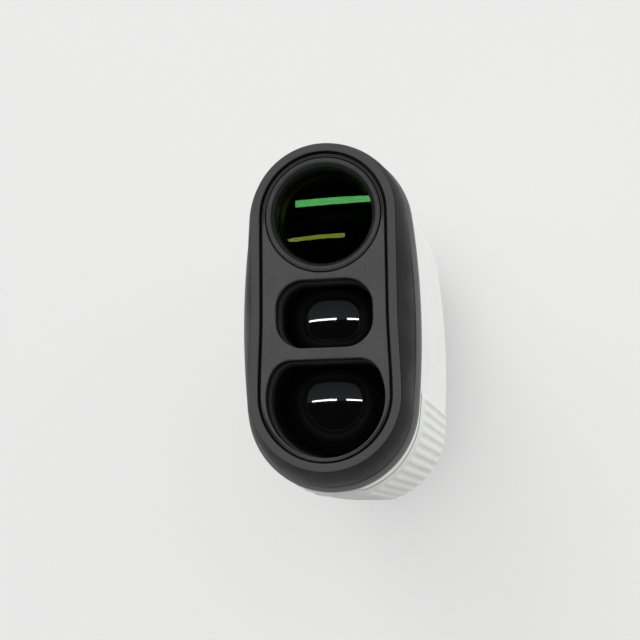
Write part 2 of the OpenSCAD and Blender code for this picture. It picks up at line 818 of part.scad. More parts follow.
module housing_screws() {
    color("#8a8c8f")
        for (p = posts_at) {
            head_x = 0.4 - edge_at(p, head_r);
            difference() {
                union() {
                    cross_rod(p[0], p[1], head_r, head_x, head_x + head_t);
                    cross_rod(p[0], p[1], screw_r, head_x + head_t / 2, 7);
                }
                for (turn = [0, 90])
                    translate([head_x, front_y + p[0], p[1]])
                        rotate([turn, 0, 0]) cube([0.9, 0.4, 1.8], center = true);
            }
        }
}

// ---- Grip ----

function grip_pt(o, along, off) = let (
    join_h = low_h(o) + low_r(o) * sin(low_a(o)),
    side_len = grip_h - join_h,
    h = grip_h - along,
    up = asin((h - o[3]) / o[4]),
    a = low_a(o) - (along - side_len) / low_r(o) * 180 / PI)
    along < side_len
        ? [o[0] - o[4] + (o[4] + off) * cos(up), o[3] + (o[4] + off) * sin(up)]
        : [(low_r(o) + off) * cos(a), low_h(o) + (low_r(o) + off) * sin(a)];
function grip_len(o) = grip_h - low_h(o) - low_r(o) * sin(low_a(o)) + low_r(o) * (90 + low_a(o)) * PI / 180;

grip_ease = 3;
grip_run = tail_start - grip_start - grip_ease;
grip_depths = concat([for (k = [0:3]) grip_start + grip_ease * k / 3],
    [for (k = [1:2]) grip_start + grip_ease + grip_run * k / 3],
    [for (d = body_depths) if (d > grip_start + grip_ease + 1 && d < grip_end - grip_ease - 1) d],
    [for (k = [3:-1:0]) grip_end - grip_ease * k / 3]);

module grip_pad() {
    wave = [[0, 0], [0.45, 0], [0.6, 1], [0.85, 1]];
    steps = concat([for (r = [0:grip_ribs - 1], w = wave) [(r + w[0]) / grip_ribs, w[1]]], [[1, 0]]);
    color("#ececea")
        loft([for (d = grip_depths) let (
            o = body_at(d),
            full = grip_len(o),
            ease = 0.25 + 0.75 * smooth(min(d - grip_start, grip_end - d) / grip_ease),
            outer = flatten([for (s = steps)
                grip_pt(o, full * s[0], lay_gap + ease * (grip_t + rib_h * s[1]))], 0),
            inner = flatten([for (s = steps) grip_pt(o, full * s[0], lay_gap)], belly_h - 0.05))
            ring(concat(outer, tail(left_of(reverse(outer))), left_of(inner), tail(reverse(inner))), d)],
            false, true);
}

// ---- Rear cover, eyepiece ----

cover_end = shell_end + cover_t;
rear_screw_at = [[-rear_screw_x, rear_screw_h], [rear_screw_x, rear_screw_h], [0, low_screw_h]];
door_start = cover_end + lay_gap;
hinge_x = -door_half_w - hinge_gap - hinge_r;
hinge_d = cover_end + hinge_r + lay_gap;

module rear_cover() {
    half_knuckle = knuckle_l / 2 + lay_gap;
    color("#4a4b4d")
        difference() {
            union() {
                slab(shell_end, cover_t) polygon(whole(oval_half(body_at(shell_end))));
                cross_rod(cover_end + lug_r + 0.4, lug_h, lug_r, lug_x - lug_t / 2, lug_x + lug_t / 2);
                block([lug_x - lug_t / 2, lug_x + lug_t / 2], [shell_end + 1, cover_end + lug_r + 0.4],
                    [lug_h - lug_r, lug_h + lug_r]);
                for (side = [-1, 1]) {
                    low = side > 0 ? battery_h + half_knuckle : battery_h - half_knuckle - knuckle_end_l;
                    post(hinge_x, hinge_d, hinge_r, low, low + knuckle_end_l);
                    block([hinge_x - hinge_r, hinge_x], [cover_end - 1, hinge_d], [low, low + knuckle_end_l]);
                }
            }
            rod(axis_h, eye_tube_r + 0.02, 0, total_l);
            rod(battery_h, sleeve_bore_r, 0, total_l);
            for (s = rear_screw_at) {
                rod(s[1], screw_r + 0.1, 0, total_l, s[0]);
                rod(s[1], head_r + 0.1, cover_end - head_t, cover_end + 1, s[0]);
            }
            cross_rod(cover_end + lug_r + 0.4, lug_h, lanyard_r, 0, 20);
            post(hinge_x, hinge_d, pin_r + 0.01, 0, 2 * battery_h);
        }
}

module rear_screws() {
    head_d = cover_end - head_t;
    color("#8a8c8f")
        for (s = rear_screw_at)
            difference() {
                union() {
                    rod(s[1], head_r, head_d, cover_end - 0.1, s[0]);
                    rod(s[1], screw_r, shell_end - rear_bulkhead_t, head_d + 0.2, s[0]);
                }
                for (turn = [0, 90])
                    translate([s[0], front_y + cover_end, s[1]])
                        rotate([0, turn, 0]) cube([1.8, 0.9, 0.4], center = true);
            }
}

cup_start = cover_end + seal_t + 0.1 + dioptre_w + 0.3;
dioptre_d = cover_end + seal_t + 0.1;
eye_tube_end = total_l - cup_rim - lay_gap;
eye_flange_r = eye_tube_r + 0.8;

module eyepiece_tube() {
    color("#222325")
        turned(axis_h, [[eye_bore_r, shell_end - eye_tube_in], [eye_tube_r, shell_end - eye_tube_in],
            [eye_tube_r, shell_end - 1.4], [eye_flange_r, shell_end - 1.4],
            [eye_flange_r, shell_end - lay_gap], [eye_tube_r, shell_end - lay_gap],
            [eye_tube_r, eye_tube_end], [eye_bore_r, eye_tube_end]]);
}

module eyepiece_seal() {
    color("#151516")
        turned(axis_h, [[eye_tube_r + 0.02, cover_end + 0.02], [eye_tube_r + 1.3, cover_end + 0.02],
            [eye_tube_r + 1.6, cover_end + seal_t / 2], [eye_tube_r + 1.3, cover_end + seal_t],
            [eye_tube_r + 0.02, cover_end + seal_t]]);
}

module dioptre_ring() {
    ridge = 0.35;
    base_r = dioptre_r - ridge;
    end = dioptre_d + dioptre_w;
    color("#2a2b2d")
        difference() {
            turned(axis_h, [[eye_tube_r + run_fit, dioptre_d], [base_r, dioptre_d],
                [dioptre_r, dioptre_d + ridge], [dioptre_r, end - ridge], [base_r, end],
                [eye_tube_r + run_fit, end]]);
            for (i = [0:dioptre_ridges - 1])
                translate([0, front_y, axis_h])
                    rotate([0, 360 * i / dioptre_ridges, 0])
                        translate([0, dioptre_d - 1, dioptre_r])
                            rotate([-90, 0, 0]) cylinder(r = ridge, h = dioptre_w + 2, $fn = 24);
        }
}

cell_r = eye_bore_r - run_fit;
cell_bore_r = cell_r - cell_wall;
cell_d = eye_tube_end - 4.7 - cell_l;

module ocular_cell() {
    color("#1c1c1e") pipe(axis_h, cell_r, cell_bore_r, cell_d, cell_d + cell_l);
}

// Lens with both faces domed; its rim spans from a depth to the next
module eye_glass(from, to, curve) {
    r = cell_bore_r - 0.02;
    bow = sag(curve, r);
    front = [for (i = [0:arc_steps]) let (x = r * i / arc_steps) [x, from - bow + sag(curve, x)]];
    rear = [for (i = [arc_steps:-1:0]) let (x = r * i / arc_steps) [x, to + bow - sag(curve, x)]];
    turned(axis_h, concat(front, rear));
}

module field_lens() {
    color("#8fa7b0") eye_glass(cell_d + field_lens_in, cell_d + field_lens_in + field_lens_t, field_curve);
}

module eye_lens() {
    rear = cell_d + cell_l - eye_lens_in;
    color("#6f86a0") eye_glass(rear - eye_lens_t, rear, eye_curve);
}

module eyecup() {
    rim_d = total_l - cup_rim;
    color("#1d1d1f")
        turned(axis_h, [[eye_tube_r + run_fit, cup_start], [cup_r - 0.6, cup_start], [cup_r, cup_start + 0.5],
            [cup_r, rim_d - 0.6], [cup_r - 0.25, total_l - 0.7], [cup_r - 1, total_l - 0.15],
            [cup_r - 1.8, total_l], [cup_r - 3.2, total_l], [cup_open_r + 0.5, total_l - 0.3],
            [cup_open_r, rim_d + 0.2], [cup_open_r, rim_d], [eye_tube_r + run_fit, rim_d]]);
}

// ---- Battery and its door ----

sleeve_out_r = sleeve_bore_r + sleeve_wall;
battery_end = shell_end;
battery_start = battery_end - battery_l;
sleeve_start = battery_start - spring_l - sleeve_wall;

module battery() {
    cap_r = battery_r * 0.4;
    color("#8b9196")
        turned(battery_h, [[0, battery_start], [battery_r - 0.4, battery_start],
            [battery_r, battery_start + 0.4], [battery_r, battery_end - 1.4],
            [battery_r - 0.5, battery_end - 0.9], [cap_r, battery_end - 0.9],
            [cap_r, battery_end], [0, battery_end]]);
}

module battery_sleeve() {
    color("#38393b")
        turned(battery_h, [[0, sleeve_start], [sleeve_out_r, sleeve_start],
            [sleeve_out_r, shell_end - lay_gap], [sleeve_bore_r, shell_end - lay_gap],
            [sleeve_bore_r, sleeve_start + sleeve_wall],
            [0, sleeve_start + sleeve_wall]]);
}

module battery_spring() {
    steps = 14;
    turns = spring_turns * steps;
    start = sleeve_start + sleeve_wall + spring_wire;
    run = spring_l - 2 * spring_wire - 0.04;
    points = [for (k = [0:turns]) let (
        t = k / turns,
        radius = battery_r * (0.75 - 0.3 * t),
        a = 360 * spring_turns * t)
        [radius * cos(a), front_y + start + run * t, battery_h - radius * sin(a), a]];
    rings = [for (p = points) [for (j = [0:5]) let (u = 60 * j)
        [p[0] + spring_wire * cos(u) * cos(p[3]), p[1] + spring_wire * sin(u),
            p[2] - spring_wire * cos(u) * sin(p[3])]]];
    color("#c7c9cb") loft(rings, false);
}

door_end = door_start + door_t;
groove_r = sleeve_bore_r + 0.75;

module battery_door() {
    color("#515254")
        difference() {
            union() {
                slab(door_start, door_t) polygon(window_pts(door_half_w, door_half_h, 2.5, battery_h));
                post(hinge_x, hinge_d, hinge_r, battery_h - knuckle_l / 2, battery_h + knuckle_l / 2);
                block([hinge_x, -door_half_w + 1], [hinge_d - 0.7, door_end],
                    [battery_h - knuckle_l / 2, battery_h + knuckle_l / 2]);
            }
            post(hinge_x, hinge_d, pin_r + run_fit, 0, 2 * battery_h);
            pipe(battery_h, groove_r + door_seal_r + 0.02, groove_r - door_seal_r - 0.02,
                door_start - 1, door_start + 2 * door_seal_r - 0.03);
        }
}

module door_seal() {
    color("#141415")
        translate([0, front_y + door_start + door_seal_r - 0.05, battery_h])
            rotate([-90, 0, 0])
                rotate_extrude() translate([groove_r, 0]) circle(r = door_seal_r, $fn = 24);
}

module door_contact() {
    plate_d = door_start - contact_t;
    color("#c9b37a")
        turned(battery_h, [[0, battery_end + 0.1], [contact_pin_r, battery_end + 0.1],
            [contact_pin_r, plate_d], [contact_r, plate_d], [contact_r, door_start], [0, door_start]]);
}

module hinge_pin() {
    color("#b8babc")
        post(hinge_x, hinge_d, pin_r, battery_h - knuckle_l / 2 - lay_gap - knuckle_end_l,
            battery_h + knuckle_l / 2 + lay_gap + knuckle_end_l);
}

// ---- Buttons ----

body_top_r = top_r(body_at(pad_start));
body_top_h = body_top - body_top_r;
pad_out_r = body_top_r + lay_gap + pad_t;
power_d = pad_start + power_back;
mode_d = power_d + mode_back;
buttons_at = [[power_d, power_r], [mode_d, mode_r]];
collar = 0.8;
inner_top_r = body_top_r - shell_wall;
collar_top = body_top - shell_wall - sag(inner_top_r, power_r + collar) - lay_gap;
dome_top = collar_top - collar - button_travel - 0.05;
board_high = dome_top - dome_t;
board_low = board_high - board_t;

module top_pad() {
    pad_mid = pad_start + pad_l / 2;
    color("#3b3c3e")
        difference() {
            intersection() {
                pipe(body_top_h, pad_out_r, body_top_r + lay_gap, pad_start, pad_start + pad_l);
                translate([0, front_y + pad_mid, 50])
                    linear_extrude(50) union() {
                        square([2 * pad_half_w, pad_l - 2 * pad_half_w], center = true);
                        for (end = [-1, 1])
                            translate([0, end * (pad_l / 2 - pad_half_w)]) circle(r = pad_half_w);
                    }
            }
            for (b = buttons_at) post(0, b[0], b[1] + button_gap, 50, 100);
        }
}

module button(depth, radius) {
    top = body_top + lay_gap + pad_t + button_proud;
    bottom = collar_top - collar;
    translate([0, front_y + depth, 0])
        rotate_extrude()
            polygon([[0, bottom], [radius + collar, bottom], [radius + collar, collar_top],
                [radius, collar_top], [radius, top - 0.5], [radius - 0.2, top - 0.15], [radius - 0.6, top],
                [radius * 0.5, top - 0.25], [0, top - 0.35]]);
}

module power_button() {
    color("#2c2d2f") button(power_d, power_r);
}

module mode_button() {
    color("#2c2d2f") button(mode_d, mode_r);
}

module button_domes() {
    color("#cfd0d2")
        for (b = buttons_at)
            translate([0, front_y + b[0], board_high])
                rotate_extrude() polygon([[0, 0], [dome_r, 0], [dome_r * 0.73, dome_t * 0.7], [0, dome_t]]);
}

module button_board() {
    color("#2f6b45")
        block([-cage_out, cage_out], [prism_d - 0.5, mode_d + mode_r + 2], [board_low, board_high]);
}

// ---- Slope switch ----

slot_half_h = 0.8;
slot_half_l = 1 + switch_travel + 0.2;
plate_half_l = switch_half_l + switch_travel + 1;
plate_half_h = switch_half_h + 0.9;
plate_t = 0.7;
switch_d = shell_end - switch_back;
switch_wall = oval_w(body_at(switch_d), switch_h);
switch_floor = -switch_wall + 0.9;
plate_x = switch_floor - plate_t;
function switch_range(half) = [switch_d - half, switch_d + half];

module switch_plate() {
    color("#3b3c3e")
        difference() {
            block([plate_x, switch_floor], switch_range(plate_half_l),
                [switch_h - plate_half_h, switch_h + plate_half_h]);
            block([plate_x - 1, switch_floor + 1], switch_range(slot_half_l),
                [switch_h - slot_half_h, switch_h + slot_half_h]);
        }
}

module slope_switch() {
    knob_x = plate_x - run_fit - knob_t;
    color("#2c2d2f") {
        translate([knob_x, front_y + switch_d, switch_h])
            rotate([0, 90, 0])
                linear_extrude(knob_t) polygon(window_pts(switch_half_h, switch_half_l, 1, 0));
        block([knob_x + knob_t / 2, -switch_wall + shell_wall + 0.6], switch_range(1),
            [switch_h - slot_half_h + 0.1, switch_h + slot_half_h - 0.1]);
    }
}

// ---- Main board ----

main_l = rear_bulkhead_d - main_gap - main_d;

module main_board() {
    color("#2f6b45")
        block([-main_x - board_t, -main_x], [main_d, main_d + main_l],
            [main_h - main_half_h, main_h + main_half_h]);
}

module board_parts() {
    // Middle, length and height of each chip, as shares of the board's length and half height
    chips = [[0.21, 0.4, 0.18, 0.93], [0.53, -0.27, 0.13, 0.8], [0.77, 0.4, 0.1, 0.53],
        [0.38, -0.7, 0.08, 0.32], [0.7, -0.7, 0.1, 0.27]];
    color("#1e1f21")
        for (c = chips)
            translate([-main_x, front_y + main_d + (c[0] - c[2] / 2) * main_l,
                main_h + (c[1] - c[3] / 2) * main_half_h])
                cube([chip_t, c[2] * main_l, c[3] * main_half_h]);
}

module vibration_motor() {
    color("#a6a8aa") rod(deck_bottom - motor_r, motor_r, motor_d, motor_d + motor_l, x = motor_x);
}

front_bezel();
front_panel();
objective_ring();
objective_tube();
objective_lens();
objective_rear_lens();
emitter_hood();
emitter_lens();
laser_diode();
emitter_board();
receiver_hood();
receiver_lens();
detector();
receiver_board();
optical_chassis();
prism_cage();
prism_front();
prism_roof();
display_panel();
right_shell();
left_shell();
rear_cover();
rear_screws();
housing_screws();
eyepiece_tube();
eyepiece_seal();
dioptre_ring();
ocular_cell();
field_lens();
eye_lens();
eyecup();
battery();
battery_sleeve();
battery_spring();
battery_door();
door_contact();
door_seal();
hinge_pin();
top_pad();
power_button();
mode_button();
button_board();
button_domes();
slope_switch();
switch_plate();
main_board();
board_parts();
vibration_motor();
grip_pad();
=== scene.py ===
"""Looks of a handheld laser rangefinder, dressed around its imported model.

Pieces are worked out in millimetres as (x, depth, height) and written to their meshes in metres
in the model's own frame: +X to the right seen from the lens end, -Y towards the lens end, +Z up,
with the belly on z = 0. A depth is measured back from the foremost edge of the bezel.
"""

from __future__ import annotations

import json
import logging
import math
from dataclasses import dataclass, replace
from enum import Enum
from typing import Callable, Sequence

import bmesh
import bpy
import numpy as np
from mathutils import Matrix, Vector
from mathutils.geometry import delaunay_2d_cdt

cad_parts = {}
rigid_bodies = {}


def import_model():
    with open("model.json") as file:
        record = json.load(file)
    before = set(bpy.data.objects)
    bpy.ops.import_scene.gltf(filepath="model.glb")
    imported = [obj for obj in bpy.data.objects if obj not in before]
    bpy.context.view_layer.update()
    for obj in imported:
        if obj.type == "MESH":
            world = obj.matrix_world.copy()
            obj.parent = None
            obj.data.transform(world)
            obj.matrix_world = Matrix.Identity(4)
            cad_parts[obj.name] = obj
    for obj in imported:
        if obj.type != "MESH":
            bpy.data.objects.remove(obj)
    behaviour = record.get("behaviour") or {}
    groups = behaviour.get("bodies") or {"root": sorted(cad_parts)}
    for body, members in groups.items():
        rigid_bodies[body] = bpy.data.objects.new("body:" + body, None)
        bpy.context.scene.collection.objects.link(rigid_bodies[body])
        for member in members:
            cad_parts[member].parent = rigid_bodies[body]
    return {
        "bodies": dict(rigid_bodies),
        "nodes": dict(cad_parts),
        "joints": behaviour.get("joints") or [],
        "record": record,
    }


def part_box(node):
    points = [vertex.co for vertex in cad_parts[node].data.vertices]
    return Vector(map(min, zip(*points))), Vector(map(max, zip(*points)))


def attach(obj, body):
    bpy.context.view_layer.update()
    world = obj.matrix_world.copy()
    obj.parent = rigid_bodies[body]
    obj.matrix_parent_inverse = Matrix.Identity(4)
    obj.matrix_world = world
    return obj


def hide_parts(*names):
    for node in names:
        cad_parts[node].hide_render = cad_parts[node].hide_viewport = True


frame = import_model()

log = logging.getLogger("rangefinder")

# Lengths in metres: a millimetre, the model's foremost edge, and how near two points are one.
MM = 0.001
FRONT_Y = -50 * MM
MERGE = 1e-6

# Steps along an end round, a side arc and a rounded corner.
ARC_STEPS = 28
SIDE_STEPS = 20
ROUND_STEPS = 5

# The most of a stretch that a rounded corner takes.
CORNER_SHARE = 0.45

# A flat face starts this many radii in from its rim, whose radius counts as at least this much.
ROUND_REACH = 1.25
LEAST_ROUND = 0.02

# The least distance of a lattice point from an outline, as a share of the lattice's pitch.
LATTICE_CLEAR = 0.6

# What every finish shares: how far light scatters, how well a speck covers, the coat's roughness.
SCATTER_DEPTH = 2 * MM
FLECK_COVER = 0.6
COAT_GLOSS = 0.1

Array = np.ndarray


# ---------------------------------------------------------------- outlines


def smooth(t: Array | float) -> Array:
    """Ease from 0 to 1: 3 t squared less 2 t cubed, with t held between 0 and 1."""
    c = np.clip(t, 0.0, 1.0)
    return c * c * (3 - 2 * c)


def sag(radius: float, reach: Array | float) -> Array:
    """How far an arc of the radius falls away at a reach from its crown."""
    return radius - np.sqrt(radius * radius - np.square(reach))


def arc(radius: float, centre: tuple[float, float], start: float, end: float, steps: int) -> Array:
    """Points on an arc of a circle.

    Args:
        radius: Radius of the circle.
        centre: Its centre.
        start: First angle in degrees, counted from the first axis.
        end: Last angle in degrees.
        steps: Number of equal steps between them.

    Returns:
        Array of (steps + 1, 2) points.
    """
    a = np.radians(np.linspace(start, end, steps + 1))
    return np.column_stack([centre[0] + radius * np.cos(a), centre[1] + radius * np.sin(a)])


def whole(half: Array) -> Array:
    """Closes a half outline, from top to bottom on the right, with its mirror image."""
    return np.vstack([half, half[-2:0:-1] * [-1, 1]])


@dataclass(frozen=True)
class Oval:
    """Four-centre oval: two long side arcs of one radius, and a round at the top and the bottom."""

    half_w: float
    top: float
    low: float
    mid: float
    side_r: float

    def shrunk(self, by: float) -> Oval:
        """The oval moved inwards by a distance."""
        return Oval(self.half_w - by, self.top - by, self.low + by, self.mid, self.side_r - by)

    def end_r(self, reach: float) -> float:
        """Radius of the round that touches both side arcs and ends at a reach from the middle."""
        w, r = self.half_w, self.side_r
        return (2 * r * w - w * w - reach * reach) / (2 * (r - reach))

    @property
    def top_r(self) -> float:
        """Radius of the top round."""
        return self.end_r(self.top - self.mid)

    @property
    def low_r(self) -> float:
        """Radius of the bottom round."""
        return self.end_r(self.mid - self.low)

    @property
    def top_h(self) -> float:
        """Height of the centre of the top round."""
        return self.top - self.top_r

    @property
    def low_h(self) -> float:
        """Height of the centre of the bottom round."""
        return self.low + self.low_r

    @property
    def top_a(self) -> float:
        """Angle in degrees at which the top round meets the side arc."""
        return math.degrees(math.atan2(self.top_h - self.mid, self.side_r - self.half_w))

    @property
    def low_a(self) -> float:
        """Angle in degrees at which the side arc meets the bottom round."""
        return math.degrees(math.atan2(self.low_h - self.mid, self.side_r - self.half_w))

    def half(self) -> Array:
        """Right half from the top centre to the bottom centre.

        Returns:
            Array of (n, 2) points, clockwise.
        """
        side = (self.half_w - self.side_r, self.mid)
        return np.vstack([
            arc(self.top_r, (0, self.top_h), 90, self.top_a, ARC_STEPS),
            arc(self.side_r, side, self.top_a, self.low_a, SIDE_STEPS)[1:],
            arc(self.low_r, (0, self.low_h), self.low_a, -90, ARC_STEPS)[1:],
        ])


@dataclass(frozen=True)
class Groove:
    """Keyhole-like outline round the panel: a round at the sight and a larger round low down."""

    top_r: float = 13.76
    low_r: float = 14.27
    axis_h: float = 59.8
    low_h: float = 20.5
    waist_h: float = 38.7

    def half(self, off: float) -> Array:
        """Right half of the outline, moved outwards.

        The side's half width is the top radius plus an eased share of the difference between
        the two radii, which grows from the waist down to the centre of the low round.

        Args:
            off: Distance outwards.

        Returns:
            Points from the top centre to the bottom centre.
        """
        h = np.linspace(self.axis_h, self.low_h, SIDE_STEPS + 1)[1:]
        share = smooth((self.waist_h - h) / (self.waist_h - self.low_h))
        side = np.column_stack([self.top_r + off + (self.low_r - self.top_r) * share, h])
        return np.vstack([
            arc(self.top_r + off, (0, self.axis_h), 90, 0, ARC_STEPS),
            side,
            arc(self.low_r + off, (0, self.low_h), 0, -90, ARC_STEPS)[1:],
        ])


@dataclass(frozen=True)
class RoundedBox:
    """Rectangle with round corners about a height."""

    half_w: float
    half_h: float
    corner: float
    height: float

    def outline(self, off: float = 0.0, steps: int = 14) -> Array:
        """Closed outline, clockwise from the top, moved outwards by off.

        Args:
            off: Distance outwards.
            steps: Steps in each quarter round.

        Returns:
            Array of (n, 2) points.
        """
        w, h, c = self.half_w - self.corner, self.half_h - self.corner, self.corner + off
        quarters = [(w, h, 90), (w, -h, 0), (-w, -h, -90), (-w, h, -180)]
        return np.vstack([arc(c, (x, self.height + z), a, a - 90, steps) for x, z, a in quarters])


@dataclass(frozen=True)
class CutRound:
    """Circle cut flat at its top, with round corners where the flat meets it."""

    radius: float
    height: float
    top: float
    corner: float

    def outline(self, off: float = 0.0, steps: int = 14) -> Array:
        """Closed outline, clockwise from the top, moved outwards by off.

        Args:
            off: Distance outwards.
            steps: Steps in each round corner.

        Returns:
            Array of (n, 2) points.
        """
        r, c = self.radius + off, self.corner + off
        rise = self.top + off - c - self.height
        x = math.sqrt((r - c) ** 2 - rise ** 2)
        meet = math.degrees(math.atan2(rise, x))
        right = np.vstack([
            [[0, self.top + off]],
            arc(c, (x, self.height + rise), 90, meet, steps),
            arc(r, (0, self.height), meet, -90, 2 * steps)[1:],
        ])
        return whole(right)


def circle(radius: float, centre: tuple[float, float], steps: int = 96) -> Array:
    """Closed circle, clockwise from its top."""
    return arc(radius, centre, 90, -270, steps)[:-1]


# ---------------------------------------------------------------- the body's form


@dataclass(frozen=True)
class BodyForm:
    """Section of the body at each depth, which the shells, the grip and the rear cover share."""

    half_w: float = 19.3
    top: float = 75.6
    low: float = 0.05
    mid: float = 36.5
    side_r: float = 187.45
    floor_h: float = 0.95
    tail_start: float = 62.0
    shell_start: float = 10.3
    shell_end: float = 86.5
    tail_in: float = 2.7
    tail_drop: float = 1.9
    tail_rise: float = 5.4

    def oval(self, depth: float) -> Oval:
        """Section at a depth: the sides, top and belly draw in with the square of the way
        along the tail.

        Args:
            depth: Depth behind the bezel's front edge.

        Returns:
            The oval at that depth.
        """
        t = max(0.0, (depth - self.tail_start) / (self.shell_end - self.tail_start)) ** 2
        return Oval(self.half_w - self.tail_in * t, self.top - self.tail_drop * t,
                    self.low + self.tail_rise * t, self.mid, self.side_r)

    def half(self, depth: float, inside: float) -> Array:
        """Right half of the section moved inwards, cut flat at the belly.

        Args:
            depth: Depth of the section.
            inside: Distance inwards.

        Returns:
            Points from the top centre to the bottom centre.
        """
        points = self.oval(depth).shrunk(inside).half()
        points[:, 1] = np.maximum(points[:, 1], self.floor_h + inside)
        return points


FORM = BodyForm()
GROOVE = Groove()


# ---------------------------------------------------------------- meshes


@dataclass
class Surface:
    """Points in millimetres and faces as rows of indices, quads or triangles."""

    points: Array
    faces: list[Array]

    @staticmethod
    def join(parts: Sequence[Surface]) -> Surface:
        """Several surfaces as one, with their indices moved on.

        Args:
            parts: The surfaces.

        Returns:
            One surface with all their points and faces.
        """
        points, faces, start = [], [], 0
        for part in parts:
            points.append(part.points)
            faces += [rows + start for rows in part.faces]
            start += len(part.points)
        return Surface(np.vstack(points), faces)

    def bent(self, place: Callable[[Array], Array]) -> Surface:
        """The same faces on moved points."""
        return Surface(place(self.points), self.faces)


def grid(rows: Array, wrap_rows: bool = False, wrap_cols: bool = True) -> Surface:
    """Surface on a grid of points.

    Args:
        rows: Array of (m, n, 3) points, where each row is one ring.
        wrap_rows: Whether the last ring joins the first.
        wrap_cols: Whether each ring is closed.

    Returns:
        The surface, with one quad for each cell of the grid.
    """
    m, n = rows.shape[:2]
    i, j = np.meshgrid(np.arange(m if wrap_rows else m - 1), np.arange(n if wrap_cols else n - 1),
                       indexing="ij")
    i, j = i.ravel(), j.ravel()
    up, on = (i + 1) % m, (j + 1) % n
    quads = np.column_stack([i * n + j, up * n + j, up * n + on, i * n + on])
    return Surface(rows.reshape(-1, 3), [quads])


def capped(rows: Sequence[Array]) -> Surface:
    """Tube through rings that run out and back, with a strip of quads over each end.

    Args:
        rows: Rings of (n, 3) points, where each point of the first half faces one of the second.

    Returns:
        A closed surface.
    """
    stack = np.stack(rows)
    m, n = stack.shape[:2]
    body = grid(stack)
    j = np.arange(n // 2 - 1)
    strip = np.column_stack([j, j + 1, n - 2 - j, n - 1 - j])
    return Surface(body.points, [*body.faces, strip, strip + (m - 1) * n])


def even(outline: Array, count: int) -> Array:
    """Closed outline drawn again with a number of points at equal steps along it.

    Args:
        outline: The outline, whose last point is joined to its first.
        count: Number of points.

    Returns:
        Array of (count, 2) points.
    """
    loop = np.vstack([outline, outline[:1]])
    along = np.concatenate([[0.0], np.cumsum(np.linalg.norm(np.diff(loop, axis=0), axis=1))])
    steps = np.linspace(0.0, along[-1], count, endpoint=False)
    return np.column_stack([np.interp(steps, along, loop[:, axis]) for axis in (0, 1)])


def at_depth(outline: Array, depth: float) -> Array:
    """Outline of (x, height) points as points in space at a depth."""
    return np.column_stack([outline[:, 0], np.full(len(outline), depth), outline[:, 1]])


def rail(controls: Sequence[tuple[Array, float, int]], closed: bool = False) -> Array:
    """Rings that follow a polygon of control rings, with each corner rounded.

    At a control ring each point is replaced by a quadratic curve that starts and ends a radius
    away along the two neighbouring stretches, and at most at 0.45 of their lengths.

    Args:
        controls: For each ring its points, the radius of its corner, and how many equal rings
            are laid on the straight stretch that follows it.
        closed: Whether the last control ring is followed by the first.

    Returns:
        Array of (m, n, 3) points.
    """
    rings: list[Array] = []
    count = len(controls)
    for k, (ring, radius, fill) in enumerate(controls):
        before = controls[k - 1][0] if closed or k > 0 else None
        after = controls[(k + 1) % count][0] if closed or k < count - 1 else None
        if radius > 0 and before is not None and after is not None:
            to_before, to_after = before - ring, after - ring
            len_b = np.linalg.norm(to_before, axis=1, keepdims=True)
            len_a = np.linalg.norm(to_after, axis=1, keepdims=True)
            p0 = ring + to_before / np.maximum(len_b, 1e-9) * np.minimum(
                radius, CORNER_SHARE * len_b)
            p2 = ring + to_after / np.maximum(len_a, 1e-9) * np.minimum(
                radius, CORNER_SHARE * len_a)
            for u in np.linspace(0, 1, ROUND_STEPS + 1):
                rings.append((1 - u) ** 2 * p0 + 2 * u * (1 - u) * ring + u * u * p2)
        else:
            rings.append(ring)
        if after is not None:
            start = rings[-1]
            for u in range(1, fill + 1):
                rings.append(start + (after - start) * u / (fill + 1))
    return np.stack(rings)


def triangulate(outer: Array, holes: Sequence[Array], spacing: float = 0.0) -> tuple[Array, Array]:
    """Triangles over a flat outline with holes.

    Args:
        outer: Closed outline.
        holes: Closed outlines of the holes.
        spacing: Pitch of a lattice of further points inside, or 0 for none.

    Returns:
        The points, of which the outlines' own come first, and (k, 3) indices.
    """
    loops = [outer, *holes]
    points = np.vstack(loops)
    edges, start = [], 0
    for loop in loops:
        index = np.arange(len(loop)) + start
        edges += list(zip(index.tolist(), np.roll(index, -1).tolist()))
        start += len(loop)
    if spacing > 0:
        low, high = points.min(axis=0), points.max(axis=0)
        u, v = np.meshgrid(np.arange(low[0], high[0], spacing),
                           np.arange(low[1], high[1], spacing))
        shift = 0.5 * spacing * (np.arange(len(u)) % 2)[:, None]
        lattice = np.column_stack([(u + shift).ravel(), v.ravel()])
        keep = inside(lattice, outer)
        for hole in holes:
            keep &= ~inside(lattice, hole)
        near = np.linalg.norm(lattice[:, None] - points[None], axis=2).min(axis=1)
        points = np.vstack([points, lattice[keep & (near > LATTICE_CLEAR * spacing)]])
    co, _, tris, _, _, _ = delaunay_2d_cdt([Vector(p) for p in points.tolist()], edges, [], 1, 1e-7)
    flat = np.array([c[:] for c in co])
    index = np.array([t for t in tris if len(t) == 3])
    middle = flat[index].mean(axis=1)
    keep = inside(middle, outer)
    for hole in holes:
        keep &= ~inside(middle, hole)
    return flat, index[keep]


def inside(points: Array, outline: Array) -> Array:
    """Whether each point lies in a closed outline: its ray to the right crosses it an odd
    number of times.

    Args:
        points: Array of (n, 2) points.
        outline: The closed outline.

    Returns:
        Array of n booleans.
    """
    a, b = outline, np.roll(outline, -1, axis=0)
    x, y = points[:, :1], points[:, 1:2]
    spans = (a[:, 1] > y) != (b[:, 1] > y)
    rise = np.where(np.abs(b[:, 1] - a[:, 1]) < 1e-12, 1e-12, b[:, 1] - a[:, 1])
    crossing = a[:, 0] + (y - a[:, 1]) * (b[:, 0] - a[:, 0]) / rise
    return (np.sum(spans & (x < crossing), axis=1) % 2) == 1


